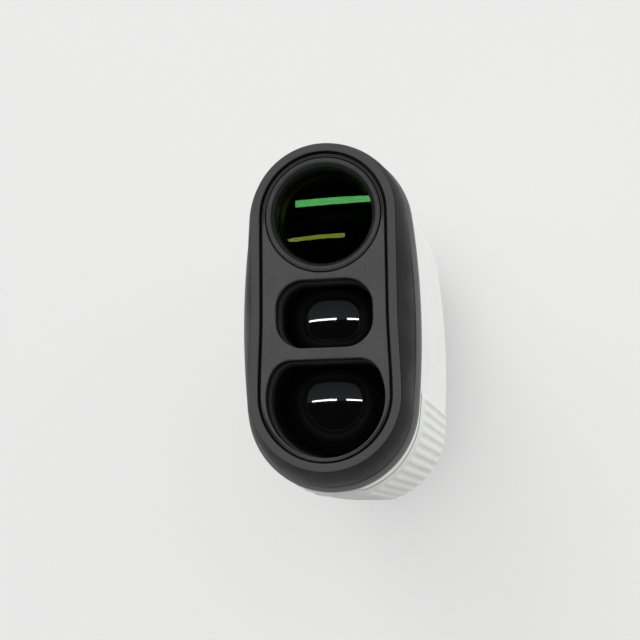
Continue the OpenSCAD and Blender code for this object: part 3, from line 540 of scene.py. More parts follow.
class Plane(Enum):
    """Which way the plan of a plate faces, as the axes of its plan and of its thickness."""

    ACROSS = (0, 2, 1)
    SIDE = (1, 2, 0)
    LEVEL = (0, 1, 2)

    def place(self, plan: Array, along: Array | float) -> Array:
        """Plan points at a distance along the plate's thickness, as points in space.

        Args:
            plan: Array of (n, 2) points.
            along: Distance, for all or for each point.

        Returns:
            Array of (n, 3) points.
        """
        out = np.empty((len(plan), 3))
        out[:, self.value[0]] = plan[:, 0]
        out[:, self.value[1]] = plan[:, 1]
        out[:, self.value[2]] = along
        return out


Outline = Callable[[float], Array]
Rim = Sequence[tuple[float, float, float]]


def plate(plane: Plane, outline: Outline, rim: Rim, holes: Sequence[tuple[Outline, Rim]] = (),
          spacing: float = 0.0) -> Surface:
    """Flat plate with rounded edges and holes.

    A rim is a list of (distance outwards, place along the thickness, corner radius), from the
    plate's first face to its second.

    Args:
        plane: Which way it faces.
        outline: Gives the outline moved outwards by a distance.
        rim: Its outer edge.
        holes: The outline and the rim of each hole.
        spacing: Pitch of further points on both faces, for a plate that is bent later.

    Returns:
        A closed surface.
    """
    parts: list[Surface] = []
    first: list[Array] = []
    last: list[Array] = []
    for k, (shape, edge) in enumerate([(outline, rim), *holes]):
        way = -1 if k == 0 else 1
        begin = shape(edge[0][0] + way * max(edge[0][2], LEAST_ROUND) * ROUND_REACH)
        end = shape(edge[-1][0] + way * max(edge[-1][2], LEAST_ROUND) * ROUND_REACH)
        parts.append(grid(rail([
            (plane.place(begin, edge[0][1]), 0.0, 0),
            *((plane.place(shape(off), along), radius, 0) for off, along, radius in edge),
            (plane.place(end, edge[-1][1]), 0.0, 0),
        ])))
        first.append(begin)
        last.append(end)
    for level, loops in ((rim[0][1], first), (rim[-1][1], last)):
        flat, tris = triangulate(loops[0], loops[1:], spacing)
        parts.append(Surface(plane.place(flat, level), [tris]))
    return Surface.join(parts)


def turned(profile: Array, origin: Sequence[float], axis: int, steps: int = 128,
           closed: bool = True) -> Surface:
    """Surface of revolution.

    Args:
        profile: Points of (radius, distance along the axis).
        origin: A point on the axis.
        axis: 0, 1 or 2 for an axis along X, Y or Z.
        steps: Number of steps round the axis.
        closed: Whether the profile closes on itself.

    Returns:
        The surface, with profile points on the axis merged later.
    """
    turn = 2 * np.pi * np.arange(steps) / steps
    others = [k for k in range(3) if k != axis]
    rows = np.zeros((len(profile), steps, 3))
    rows[..., others[0]] = profile[:, :1] * np.cos(turn)
    rows[..., others[1]] = profile[:, :1] * np.sin(turn)
    rows[..., axis] = profile[:, 1:]
    return grid(rows + np.asarray(origin, float), wrap_rows=closed)


def rounded_profile(corners: Sequence[tuple[float, float, float]], closed: bool = True) -> Array:
    """Profile with rounded corners, from (radius, distance, corner radius) triples."""
    controls = [(np.array([[c[0], c[1], 0.0]]), c[2], 0) for c in corners]
    return rail(controls, closed)[:, 0, :2]


# ---------------------------------------------------------------- finishes


class Group(Enum):
    """Shader node groups that several finishes share."""

    MOTTLE = "two_tone_mottle"
    GRAIN = "moulded_grain"
    SPREAD = "gloss_spread"
    BAND = "depth_band"
    FLECK = "fine_fleck"
    BRUSH = "turned_brushing"


@dataclass(frozen=True)
class Wire:
    """Shorthand for making nodes and links in one node tree."""

    tree: bpy.types.NodeTree

    def node(self, kind: str, **settings: object) -> bpy.types.Node:
        """Adds a node of a kind and sets its properties.

        Args:
            kind: Type of the node.
            **settings: Values of its properties.

        Returns:
            The node.
        """
        made = self.tree.nodes.new(kind)
        for key, value in settings.items():
            setattr(made, key, value)
        return made

    def find(self, kind: str) -> bpy.types.Node:
        """The first node of a type, among those that a new tree brings."""
        return next(n for n in self.tree.nodes if n.type == kind)

    def math(self, operation: str, *values: object) -> bpy.types.NodeSocket:
        """Adds a Math node on sockets or numbers, and returns what it puts out.

        Args:
            operation: What the node does.
            *values: What each input is fed with.

        Returns:
            The output.
        """
        made = self.node("ShaderNodeMath", operation=operation)
        for socket, value in zip(made.inputs, values):
            self.feed(socket, value)
        return made.outputs[0]

    def ramp(self, value: object, low: object, high: object, out_low: object = 0.0,
             out_high: object = 1.0) -> bpy.types.NodeSocket:
        """Maps a value smoothly from one range to another, held at both ends.

        Args:
            value: What is mapped.
            low: Start of its range.
            high: End of its range.
            out_low: Result at the start.
            out_high: Result at the end.

        Returns:
            The output.
        """
        made = self.node("ShaderNodeMapRange", interpolation_type="SMOOTHSTEP")
        for socket, given in zip(made.inputs, (value, low, high, out_low, out_high)):
            self.feed(socket, given)
        return made.outputs[0]

    def noise(self, place: object, size: object, detail: float = 2.0,
              rough: float = 0.5) -> bpy.types.NodeSocket:
        """Noise whose features have a size in millimetres.

        Args:
            place: Where the noise is read.
            size: Size of its features.
            detail: How many finer octaves it has.
            rough: Weight of each next octave.

        Returns:
            The output, from 0 to 1.
        """
        made = self.node("ShaderNodeTexNoise")
        self.feed(made.inputs["Vector"], place)
        self.feed(made.inputs["Scale"], self.math("DIVIDE", 1 / MM, size))
        made.inputs["Detail"].default_value = detail
        made.inputs["Roughness"].default_value = rough
        return made.outputs[0]

    def blend(self, share: object, first: object, second: object) -> bpy.types.NodeSocket:
        """Mixes two colours.

        Args:
            share: Share of the second colour.
            first: First colour.
            second: Second colour.

        Returns:
            The mixed colour.
        """
        made = self.node("ShaderNodeMix", data_type="RGBA")
        for index, given in ((0, share), (6, first), (7, second)):
            self.feed(made.inputs[index], given)
        return made.outputs[2]

    def feed(self, socket: bpy.types.NodeSocket, value: object) -> None:
        """Links an output to a socket, or sets the socket's own value.

        Args:
            socket: The input.
            value: An output, a number, or a colour without its alpha.
        """
        if isinstance(value, bpy.types.NodeSocket):
            self.tree.links.new(value, socket)
        elif isinstance(value, (tuple, list)) and len(value) == 3:
            socket.default_value = (*value, 1.0)
        else:
            socket.default_value = value

    def use(self, group: bpy.types.NodeTree, **inputs: object) -> bpy.types.NodeSocket:
        """Places a group, feeds its inputs by name, and returns its first output.

        Args:
            group: The group.
            **inputs: What each input is fed with.

        Returns:
            The first output.
        """
        made = self.node("ShaderNodeGroup", node_tree=group)
        for key, value in inputs.items():
            self.feed(made.inputs[key], value)
        return made.outputs[0]


class GroupShop:
    """Builds each shared node group once."""

    VECTOR, FLOAT, COLOUR = "NodeSocketVector", "NodeSocketFloat", "NodeSocketColor"

    def __init__(self) -> None:
        """Builds every group."""
        self.made: dict[Group, bpy.types.NodeTree] = {
            Group.MOTTLE: self.mottle(), Group.GRAIN: self.grain(), Group.SPREAD: self.spread(),
            Group.BAND: self.band(), Group.FLECK: self.fleck(), Group.BRUSH: self.brush()}

    def start(self, group: Group, inputs: dict[str, str], output: tuple[str, str]
              ) -> tuple[Wire, dict[str, bpy.types.NodeSocket], bpy.types.NodeSocket]:
        """Makes an empty group with its interface.

        Args:
            group: Which group.
            inputs: Name and kind of each input.
            output: Name and kind of the output.

        Returns:
            The wire to build with, the inputs by name, and the socket that the result feeds.
        """
        tree = bpy.data.node_groups.new(group.value, "ShaderNodeTree")
        for name, kind in inputs.items():
            tree.interface.new_socket(name, in_out="INPUT", socket_type=kind)
        tree.interface.new_socket(output[0], in_out="OUTPUT", socket_type=output[1])
        wire = Wire(tree)
        entry, leave = wire.node("NodeGroupInput"), wire.node("NodeGroupOutput")
        return wire, {name: entry.outputs[name] for name in inputs}, leave.inputs[0]

    def mottle(self) -> bpy.types.NodeTree:
        """Cloudy mix of a tint and a shade, from a coarse and a fine noise.

        Returns:
            The group.
        """
        w, given, out = self.start(Group.MOTTLE, {"Place": self.VECTOR, "Tint": self.COLOUR,
                                                  "Shade": self.COLOUR, "Size": self.FLOAT},
                                   ("Colour", self.COLOUR))
        coarse = w.noise(given["Place"], given["Size"], 3.0)
        fine = w.noise(given["Place"], w.math("MULTIPLY", given["Size"], 0.11), 2.0, 0.6)
        both = w.math("ADD", w.math("MULTIPLY", coarse, 0.62), w.math("MULTIPLY", fine, 0.38))
        w.feed(out, w.blend(w.ramp(both, 0.36, 0.64), given["Tint"], given["Shade"]))
        return w.tree

    def grain(self) -> bpy.types.NodeTree:
        """Height of an eroded mould grain: noise pits over fine round cells.

        Returns:
            The group.
        """
        w, given, out = self.start(Group.GRAIN, {"Place": self.VECTOR, "Size": self.FLOAT},
                                   ("Height", self.FLOAT))
        cells = w.node("ShaderNodeTexVoronoi", feature="SMOOTH_F1")
        w.feed(cells.inputs["Vector"], given["Place"])
        w.feed(cells.inputs["Scale"], w.math("DIVIDE", 1 / MM, given["Size"]))
        pits = w.noise(given["Place"], w.math("MULTIPLY", given["Size"], 0.7), 3.0, 0.55)
        w.feed(out, w.math("ADD", w.math("MULTIPLY", cells.outputs["Distance"], 0.6),
                           w.math("MULTIPLY", pits, 0.7)))
        return w.tree

    def spread(self) -> bpy.types.NodeTree:
        """Roughness that drifts between two values in soft patches.

        Returns:
            The group.
        """
        w, given, out = self.start(Group.SPREAD, {"Place": self.VECTOR, "Low": self.FLOAT,
                                                  "High": self.FLOAT, "Size": self.FLOAT},
                                   ("Roughness", self.FLOAT))
        patches = w.noise(given["Place"], given["Size"], 4.0, 0.6)
        w.feed(out, w.ramp(patches, 0.3, 0.7, given["Low"], given["High"]))
        return w.tree

    def band(self) -> bpy.types.NodeTree:
        """Mask between two depths behind the bezel's front edge, with soft ends.

        Returns:
            The group.
        """
        w, given, out = self.start(Group.BAND, {"Place": self.VECTOR, "From": self.FLOAT,
                                                "To": self.FLOAT, "Soft": self.FLOAT},
                                   ("Mask", self.FLOAT))
        split = w.node("ShaderNodeSeparateXYZ")
        w.feed(split.inputs[0], given["Place"])
        depth = w.math("DIVIDE", w.math("SUBTRACT", split.outputs["Y"], FRONT_Y), MM)
        after = w.ramp(depth, w.math("SUBTRACT", given["From"], given["Soft"]),
                       w.math("ADD", given["From"], given["Soft"]))
        before = w.ramp(depth, w.math("SUBTRACT", given["To"], given["Soft"]),
                        w.math("ADD", given["To"], given["Soft"]), 1.0, 0.0)
        w.feed(out, w.math("MULTIPLY", after, before))
        return w.tree

    def fleck(self) -> bpy.types.NodeTree:
        """Sparse small specks: cells whose own random value is under a share, near their centre.

        Returns:
            The group.
        """
        w, given, out = self.start(Group.FLECK, {"Place": self.VECTOR, "Size": self.FLOAT,
                                                 "Share": self.FLOAT}, ("Mask", self.FLOAT))
        cells = w.node("ShaderNodeTexVoronoi", feature="F1")
        w.feed(cells.inputs["Vector"], given["Place"])
        w.feed(cells.inputs["Scale"], w.math("DIVIDE", 1 / MM, given["Size"]))
        pick = w.node("ShaderNodeSeparateColor")
        w.feed(pick.inputs[0], cells.outputs["Color"])
        chosen = w.math("LESS_THAN", pick.outputs[0], given["Share"])
        spot = w.ramp(cells.outputs["Distance"], 0.12, 0.3, 1.0, 0.0)
        w.feed(out, w.math("MULTIPLY", chosen, spot))
        return w.tree

    def brush(self) -> bpy.types.NodeTree:
        """Height of brushing: noise drawn out along Y.

        Returns:
            The group.
        """
        w, given, out = self.start(Group.BRUSH, {"Place": self.VECTOR, "Size": self.FLOAT,
                                                 "Draw": self.FLOAT}, ("Height", self.FLOAT))
        split, stack = w.node("ShaderNodeSeparateXYZ"), w.node("ShaderNodeCombineXYZ")
        w.feed(split.inputs[0], given["Place"])
        for axis in "XZ":
            w.feed(stack.inputs[axis], split.outputs[axis])
        w.feed(stack.inputs["Y"], w.math("DIVIDE", split.outputs["Y"], given["Draw"]))
        w.feed(out, w.noise(stack.outputs[0], given["Size"], 3.0, 0.65))
        return w.tree


def tone(red: float, green: float | None = None,
         blue: float | None = None) -> tuple[float, float, float]:
    """Linear colour from 8-bit display values; one value alone is a grey.

    Args:
        red: Red, or the grey.
        green: Green, where it differs.
        blue: Blue, where it differs.

    Returns:
        Three linear values from 0 to 1.
    """
    green, blue = red if green is None else green, red if blue is None else blue
    return tuple(c / 12.92 if c <= 0.04045 else ((c + 0.055) / 1.055) ** 2.4
                 for c in (v / 255 for v in (red, green, blue)))


Colour = tuple[float, float, float]


@dataclass(frozen=True)
class Band:
    """Part of a finish between two depths that takes another colour: on the bezel, panel, sight
    ring and dark insides it is painted light and shade, on the battery its wrap.
    """

    start: float
    end: float
    soft: float
    colour: Colour


@dataclass(frozen=True)
class Finish:
    """One surface finish; sizes are in millimetres.

    The colour is a cloudy mix of tint and shade with specks and bands over it, the roughness
    drifts between two values, and the grain raises the normal.
    """

    tint: Colour
    shade: Colour
    patch: float = 6.0
    gloss: tuple[float, float] = (0.45, 0.55)
    grain: float = 0.3
    relief: float = 0.01
    metal: float = 0.0
    specular: float = 0.5
    ior: float = 1.5
    coat: float = 0.0
    through: float = 0.0
    specular_tint: Colour = (1.0, 1.0, 1.0)
    sheen: float = 0.0
    scatter: float = 0.0
    fleck_size: float = 0.5
    fleck_share: float = 0.0
    fleck: Colour = (1.0, 1.0, 1.0)
    draw: float = 0.0
    bands: tuple[Band, ...] = ()

    def material(self, name: str, groups: dict[Group, bpy.types.NodeTree]) -> bpy.types.Material:
        """Builds the material.

        Args:
            name: Name of the material.
            groups: The shared node groups.

        Returns:
            The material.
        """
        made = bpy.data.materials.new(name)
        made.use_nodes = True
        w = Wire(made.node_tree)
        shader = w.find("BSDF_PRINCIPLED")
        place = w.node("ShaderNodeTexCoord").outputs["Object"]
        colour = w.use(groups[Group.MOTTLE], Place=place, Tint=self.tint, Shade=self.shade,
                       Size=self.patch)
        for band in self.bands:
            mask = w.use(groups[Group.BAND], Place=place, From=band.start, To=band.end,
                         Soft=band.soft)
            colour = w.blend(mask, colour, band.colour)
        if self.fleck_share > 0:
            mask = w.use(groups[Group.FLECK], Place=place, Size=self.fleck_size,
                         Share=self.fleck_share)
            colour = w.blend(w.math("MULTIPLY", mask, FLECK_COVER), colour, self.fleck)
        w.feed(shader.inputs["Base Color"], colour)
        w.feed(shader.inputs["Roughness"],
               w.use(groups[Group.SPREAD], Place=place, Low=self.gloss[0], High=self.gloss[1],
                     Size=self.patch))
        if self.relief > 0:
            if self.draw > 0:
                height = w.use(groups[Group.BRUSH], Place=place, Size=self.grain, Draw=self.draw)
            else:
                height = w.use(groups[Group.GRAIN], Place=place, Size=self.grain)
            bump = w.node("ShaderNodeBump")
            bump.inputs["Strength"].default_value = 1.0
            bump.inputs["Distance"].default_value = self.relief * MM
            w.feed(bump.inputs["Height"], height)
            w.feed(shader.inputs["Normal"], bump.outputs[0])
        for socket, value in (("Metallic", self.metal), ("Specular IOR Level", self.specular),
                              ("IOR", self.ior), ("Coat Weight", self.coat),
                              ("Transmission Weight", self.through), ("Sheen Weight", self.sheen),
                              ("Subsurface Weight", self.scatter), ("Coat Roughness", COAT_GLOSS),
                              ("Subsurface Scale", SCATTER_DEPTH)):
            shader.inputs[socket].default_value = value
        shader.inputs["Specular Tint"].default_value = (*self.specular_tint, 1.0)
        return made


DARK_PLASTIC = Finish(tone(33), tone(29), patch=9, gloss=(0.5, 0.6), grain=0.28, relief=0.022,
                      specular=0.2, fleck_size=1.1, fleck_share=0.012, fleck=tone(66))
CLEAR_GLASS = Finish(tone(250, 255, 250), tone(245, 252, 248), patch=12, gloss=(0.0, 0.004),
                     relief=0, through=1.0, ior=1.9, specular_tint=(0.5, 0.68, 0.07))
FINISHES: dict[str, Finish] = {
    # Bezel bands by depth: the lip's face is painted lighter as a sheen, the seam behind it is
    # painted dark as shade in the crease, and the flange's rim is painted light as a highlight.
    "bezel": replace(DARK_PLASTIC,
                     bands=(Band(-1, 0.4, 0.06, tone(76)), Band(0.4, 0.72, 0.08, tone(20)),
                            Band(8.6, 9.7, 0.12, tone(118)))),
    # The panel's lighter tint is a painted sheen on the front-facing plate; its band paints shade
    # on the walls of its holes.
    "panel": replace(DARK_PLASTIC, tint=tone(80), shade=tone(74),
                     bands=(Band(0.9, 4, 0.3, tone(26)),)),
    # The ring is black plastic: its grey tint, left only on the front crest, is a painted
    # highlight, and its band paints shade down the cone and sides.
    "ring": replace(DARK_PLASTIC, tint=tone(66), shade=tone(60), gloss=(0.35, 0.45), grain=0.2,
                    relief=0.006, specular=0.4, bands=(Band(0.5, 12, 0.12, tone(24)),)),
    # Its band is painted light at the mouths of the wells and tubes, fading into the dark deeper
    # in.
    "black_inner": Finish(tone(14), tone(10), patch=4, gloss=(0.6, 0.75), grain=0.25, relief=0.012,
                          specular=0.15, bands=(Band(2.5, 6.0, 1.8, tone(66)),)),
    "coated_glass": CLEAR_GLASS,
    "green_glass": replace(CLEAR_GLASS, tint=tone(24, 28, 24), shade=tone(20, 24, 20), through=0.0,
                           ior=2.8, specular_tint=(0.17, 0.78, 0.17)),
    "dark_glass": Finish(tone(10), tone(8), patch=5, gloss=(0.03, 0.05), relief=0, ior=2.1,
                         fleck_size=0.7, fleck_share=0.01, fleck=tone(60)),
    "eye_glass": Finish(tone(244, 250, 255), tone(238, 246, 252), patch=12, gloss=(0.0, 0.004),
                        relief=0, through=1.0, ior=1.52, specular_tint=(0.5, 0.55, 1.0)),
    "prism_glass": Finish(tone(72, 80, 79), tone(66, 74, 73), patch=12, gloss=(0.0, 0.01), relief=0,
                          through=1.0, ior=1.57),
    "display": Finish(tone(46, 56, 66), tone(38, 48, 58), patch=3, gloss=(0.08, 0.14), grain=0.15,
                      relief=0.002, coat=0.5),
    "brass_can": Finish(tone(196, 164, 98), tone(178, 146, 84), patch=2, gloss=(0.22, 0.34),
                        grain=0.12, relief=0.004, metal=1.0, draw=8),
    "steel_can": Finish(tone(172, 174, 178), tone(156, 158, 162), patch=3, gloss=(0.24, 0.36),
                        grain=0.12, relief=0.004, metal=1.0, draw=8),
    "board": Finish(tone(34, 88, 56), tone(26, 72, 46), patch=2.2, gloss=(0.25, 0.4), grain=0.5,
                    relief=0.02, coat=0.3, fleck_size=1.6, fleck_share=0.12,
                    fleck=tone(186, 166, 104)),
    "chips": Finish(tone(36), tone(28), patch=1.5, gloss=(0.45, 0.6), grain=0.15, relief=0.008),
    "chassis": Finish(tone(42), tone(34), patch=6, gloss=(0.5, 0.65), grain=0.35, relief=0.02),
    "white_shell": Finish(tone(243, 243, 242), tone(239, 239, 238), patch=14, gloss=(0.34, 0.42),
                          grain=0.35, relief=0.004, specular=0.45, scatter=0.05),
    "screw_steel": Finish(tone(150, 152, 156), tone(128, 130, 134), patch=1.2, gloss=(0.25, 0.4),
                          grain=0.1, relief=0.006, metal=1.0, draw=3),
    "rubber": Finish(tone(34), tone(28), patch=4, gloss=(0.65, 0.8), grain=0.22, relief=0.02,
                     specular=0.3, sheen=0.15, fleck_size=0.6, fleck_share=0.03, fleck=tone(70)),
    "control": replace(DARK_PLASTIC, tint=tone(48), shade=tone(43), gloss=(0.45, 0.6), grain=0.2),
    "cell_metal": Finish(tone(168, 170, 174), tone(150, 152, 158), patch=5, gloss=(0.2, 0.35),
                         grain=0.15, relief=0.005, metal=1.0, draw=6,
                         bands=(Band(61, 84.5, 0.05, tone(58, 66, 84)),)),
    "spring_steel": Finish(tone(196, 197, 200), tone(176, 178, 182), patch=1, gloss=(0.15, 0.25),
                           grain=0.1, relief=0.003, metal=1.0, draw=3),
    "door": replace(DARK_PLASTIC, tint=tone(60), shade=tone(55)),
    "contact_brass": Finish(tone(214, 186, 118), tone(196, 168, 102), patch=1.5, gloss=(0.18, 0.3),
                            grain=0.15, relief=0.004, metal=1.0),
    "pad": replace(DARK_PLASTIC, tint=tone(56), shade=tone(50), gloss=(0.6, 0.72), grain=0.2,
                   relief=0.018),
    "button": Finish(tone(40), tone(34), patch=3, gloss=(0.5, 0.62), grain=0.18, relief=0.012,
                     specular=0.35, fleck_size=0.6, fleck_share=0.02, fleck=tone(74)),
    "dome_steel": Finish(tone(200, 201, 204), tone(180, 182, 186), patch=1, gloss=(0.15, 0.25),
                         grain=0.1, relief=0.003, metal=1.0),
    "grip_rubber": Finish(tone(240, 240, 239), tone(236, 236, 234), patch=8, gloss=(0.55, 0.68),
                          grain=0.22, relief=0.012, specular=0.35, scatter=0.05),
}


# ---------------------------------------------------------------- the bench


Cut = tuple[Surface, str]


def placed(name: str, data: bpy.types.ID) -> bpy.types.Object:
    """Puts a mesh, a lamp or a camera in the scene, at the origin.

    Args:
        name: Name of the object.
        data: What it shows.

    Returns:
        The object.
    """
    made = bpy.data.objects.new(name, data)
    bpy.context.scene.collection.objects.link(made)
    return made


class Bench:
    """Turns surfaces into finished pieces that ride on the model's bodies."""

    def __init__(self, frame: dict) -> None:
        """Takes the loaded frame and builds the shared node groups.

        Args:
            frame: The loaded frame.
        """
        self.nodes: dict[str, bpy.types.Object] = frame["nodes"]
        self.groups = GroupShop().made
        self.materials: dict[str, bpy.types.Material] = {}

    def finish(self, slot: str) -> bpy.types.Material:
        """The material of a slot, made when it is first asked for.

        Args:
            slot: Name of the slot or of the look.

        Returns:
            The material.
        """
        if slot not in self.materials:
            self.materials[slot] = FINISHES[slot].material(slot, self.groups)
        return self.materials[slot]

    def raw(self, name: str, surface: Surface) -> bpy.types.Object:
        """Object of a surface, with its doubles merged and its faces turned outwards.

        Args:
            name: Name of the object and of its mesh.
            surface: The surface, in millimetres.

        Returns:
            The object.
        """
        mesh = bpy.data.meshes.new(name)
        points = surface.points * MM + [0, FRONT_Y, 0]
        faces = [row for rows in surface.faces for row in rows.tolist()]
        mesh.from_pydata(points.tolist(), [], faces)
        work = bmesh.new()
        work.from_mesh(mesh)
        bmesh.ops.remove_doubles(work, verts=work.verts, dist=MERGE)
        bmesh.ops.dissolve_degenerate(work, edges=work.edges, dist=MERGE)
        bmesh.ops.recalc_face_normals(work, faces=work.faces)
        work.to_mesh(mesh)
        work.free()
        return placed(name, mesh)

    def carve(self, piece: bpy.types.Object, cuts: Sequence[Cut]) -> None:
        """Joins surfaces to a piece or cuts them out of it, one after the other.

        Args:
            piece: The piece.
            cuts: Each surface with "UNION" or "DIFFERENCE".
        """
        for surface, operation in cuts:
            tool = self.raw("tool", surface)
            change = piece.modifiers.new("change", "BOOLEAN")
            change.operation, change.solver, change.object = operation, "EXACT", tool
            graph = bpy.context.evaluated_depsgraph_get()
            mesh = bpy.data.meshes.new_from_object(piece.evaluated_get(graph))
            piece.modifiers.clear()
            old, piece.data = piece.data, mesh
            bpy.data.meshes.remove(old)
            bpy.data.objects.remove(tool)

    def add(self, name: str, surface: Surface, slot: str, body: str, stands_for: Sequence[str],
            cuts: Sequence[Cut] = (), sharp: float = 32.0, look: str = "") -> bpy.types.Object:
        """Makes a finished piece.

        Args:
            name: Name of the piece.
            surface: Its surface, in (x, depth, height).
            slot: Slot of its finish.
            body: Body that it rides on.
            stands_for: Nodes that it replaces.
            cuts: Surfaces to join or to cut out.
            sharp: Angle in degrees above which an edge is crisp.
            look: Its finish, where that isn't the slot's own.

        Returns:
            The piece.
        """
        piece = self.raw(name, surface)
        self.carve(piece, cuts)
        piece.data.shade_smooth()
        piece.data.set_sharp_from_angle(angle=math.radians(sharp))
        weighted = piece.modifiers.new("weighted_normals", "WEIGHTED_NORMAL")
        weighted.keep_sharp = True
        piece.data.materials.clear()
        piece.data.materials.append(self.finish(look or slot))
        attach(piece, body)
        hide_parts(*stands_for)
        log.info("%s: %d faces, %s, rides on %s, stands for %s", name, len(piece.data.polygons),
                 slot, body, ", ".join(stands_for))
        return piece

    def dress(self, slot: str, *names: str) -> None:
        """Gives nodes whose shape is kept the finish of a slot.

        Args:
            slot: The slot.
            *names: Names of the nodes.
        """
        for name in names:
            data = self.nodes[name].data
            data.materials.clear()
            data.materials.append(self.finish(slot))
            log.info("%s: keeps its shape, %s", name, slot)


# ---------------------------------------------------------------- sub-assemblies


Faces = tuple[tuple[float, float], tuple[float, float]]


@dataclass
class LensEnd:
    """Bezel, panel, sight ring and the wells behind the two windows."""

    axis_h: float = 59.8
    flange: Oval = Oval(19.85, 76.7, 0.2, 36.5, 188)
    flange_w: float = 1.05
    wall_w: float = 1.7
    bezel_d: float = 8.8
    bezel_end: float = 10.2
    lip_in: float = 0.32
    lip_out: float = 2.07
    seam: float = 0.16
    seam_ds: tuple[float, float, float] = (0.42, 0.6, 0.68)
    seam_step: float = 0.08
    swell: float = 0.8
    flange_turn: float = 0.12
    tongue: float = 0.95
    gap: float = 0.1
    panel_d: float = 0.35
    groove_d: float = 1.6
    panel_end: float = 3.4
    hood_end: float = 13.0
    hood_wall: float = 0.8
    hood_taper: float = 1.2
    well_steps: int = 6
    step_share: float = 0.8
    step_in: float = 0.04
    ring_r: float = 12.65
    crest_r: float = 12.05
    clear_r: float = 10.75
    ring_end: float = 3.2
    ring_gap: float = 0.24
    sleeve_r: float = 10.8
    sleeve_wall: float = 0.28
    sleeve_end: float = 10.6
    lens_r: float = 10.95
    front_faces: Faces = ((2.92, 52.0), (6.5, 110.0))
    rear_faces: Faces = ((7.9, -170.0), (10.2, 400.0))
    rear_lean: float = 0.041
    dome_d: float = 6.5
    dome_trim: float = 1.3
    dome_points: int = 160
    emitter_crown: tuple[float, float] = (38.45, 18.5)
    receiver_crown: tuple[float, float] = (20.0, 16.5)
    emitter: RoundedBox = RoundedBox(10.6, 7.45, 6.0, 38.05)
    receiver: CutRound = CutRound(12.9, 20.0, 28.1, 5.0)

    def face(self, off: float, depth: float) -> Array:
        """Ring that follows the groove's outline, moved outwards."""
        return at_depth(whole(GROOVE.half(off)), depth)

    def oval(self, inside_by: float, depth: float) -> Array:
        """Ring that follows the flange's outline, moved inwards."""
        return at_depth(whole(self.flange.shrunk(inside_by).half()), depth)

    def bezel(self) -> Surface:
        """Closed wall: round the lip, down the ruled flare to the flange and back along the inside.

        Returns:
            The closed surface.
        """
        rear_in = self.flange_w + self.wall_w
        inner = self.tongue + self.gap
        open_d, deep_d, shut_d = self.seam_ds
        return grid(rail([
            (self.face(self.lip_in, self.groove_d), 0.05, 1),
            (self.face(self.lip_in, 0.0), 0.3, 1),
            (self.face(self.lip_out, 0.0), 0.3, 0),
            (self.face(self.lip_out, open_d), 0.03, 0),
            (self.face(self.lip_out - self.seam, deep_d), 0.02, 0),
            (self.face(self.lip_out + self.seam_step, shut_d), 0.08, 0),
            *self.flare(),
            (self.oval(self.flange_w, self.bezel_d - self.flange_turn), 0.22, 1),
            (self.oval(0.0, self.bezel_d + 0.1), 0.42, 1),
            (self.oval(0.0, self.bezel_end), 0.12, 0),
            (self.oval(rear_in, self.bezel_end), 0.1, 0),
            (self.oval(rear_in, self.bezel_d), 0.1, 3),
            (self.face(inner, self.panel_end + 1), 0.1, 0),
            (self.face(inner, self.groove_d), 0.05, 0),
        ], closed=True), wrap_rows=True)

    def flare(self, steps: int = 12) -> list[tuple[Array, float, int]]:
        """Rings of the wall from the lip to the flange: straight lines swelled by a parabola.

        Args:
            steps: Number of steps from the one to the other.

        Returns:
            Control rings between the two ends.
        """
        start = self.face(self.lip_out + self.seam_step, self.seam_ds[-1])
        end = self.oval(self.flange_w, self.bezel_d - self.flange_turn)
        outwards = self.face(self.lip_out + 1, 0.0) - self.face(self.lip_out, 0.0)
        return [(start + (end - start) * t + outwards * (4 * self.swell * t * (1 - t)), 0.0, 0)
                for t in (k / steps for k in range(1, steps))]

    def panel(self) -> Surface:
        """Inset plate with a hole for the sight, two windows, and a tongue behind the lip.

        Returns:
            The closed surface.
        """
        through = [(0.0, self.panel_d, 0.55), (0.0, self.panel_end, 0.05)]
        return plate(
            Plane.ACROSS, lambda off: whole(GROOVE.half(off)),
            [(-self.lip_in, self.panel_d, 0.28), (-self.lip_in, self.groove_d, 0.05),
             (self.tongue, self.groove_d, 0.05), (self.tongue, self.panel_end, 0.05)],
            [(lambda off: circle(self.ring_r + self.ring_gap + off, (0, self.axis_h), 128),
              [(0.0, self.panel_d, 0.3), (0.0, self.panel_end, 0.05)]),
             (self.emitter.outline, through), (self.receiver.outline, through)])

    def sight_ring(self) -> Surface:
        """Turned ring: a rounded crest, a cone down to the glass, and a thin sleeve behind it.

        Returns:
            The closed surface.
        """
        d = self.panel_d
        return turned(rounded_profile([
            (self.ring_r, self.ring_end, 0.05), (self.ring_r, d + 0.12, 0.12),
            (self.crest_r + 0.12, d - 0.2, 0.3), (self.crest_r - 0.35, d - 0.1, 0.25),
            (self.crest_r - 0.85, d + 0.7, 0.1), (self.crest_r - 1.05, d + 0.62, 0.08),
            (self.clear_r + 0.1, d + 1.0, 0.12), (self.clear_r, d + 1.2, 0.1),
            (self.clear_r, self.ring_end, 0.05), (self.sleeve_r, self.ring_end + 0.1, 0.02),
            (self.sleeve_r, self.sleeve_end, 0.02),
            (self.sleeve_r + self.sleeve_wall, self.sleeve_end, 0.02),
            (self.sleeve_r + self.sleeve_wall, self.ring_end, 0.02)]), (0, 0, self.axis_h), 1, 160)

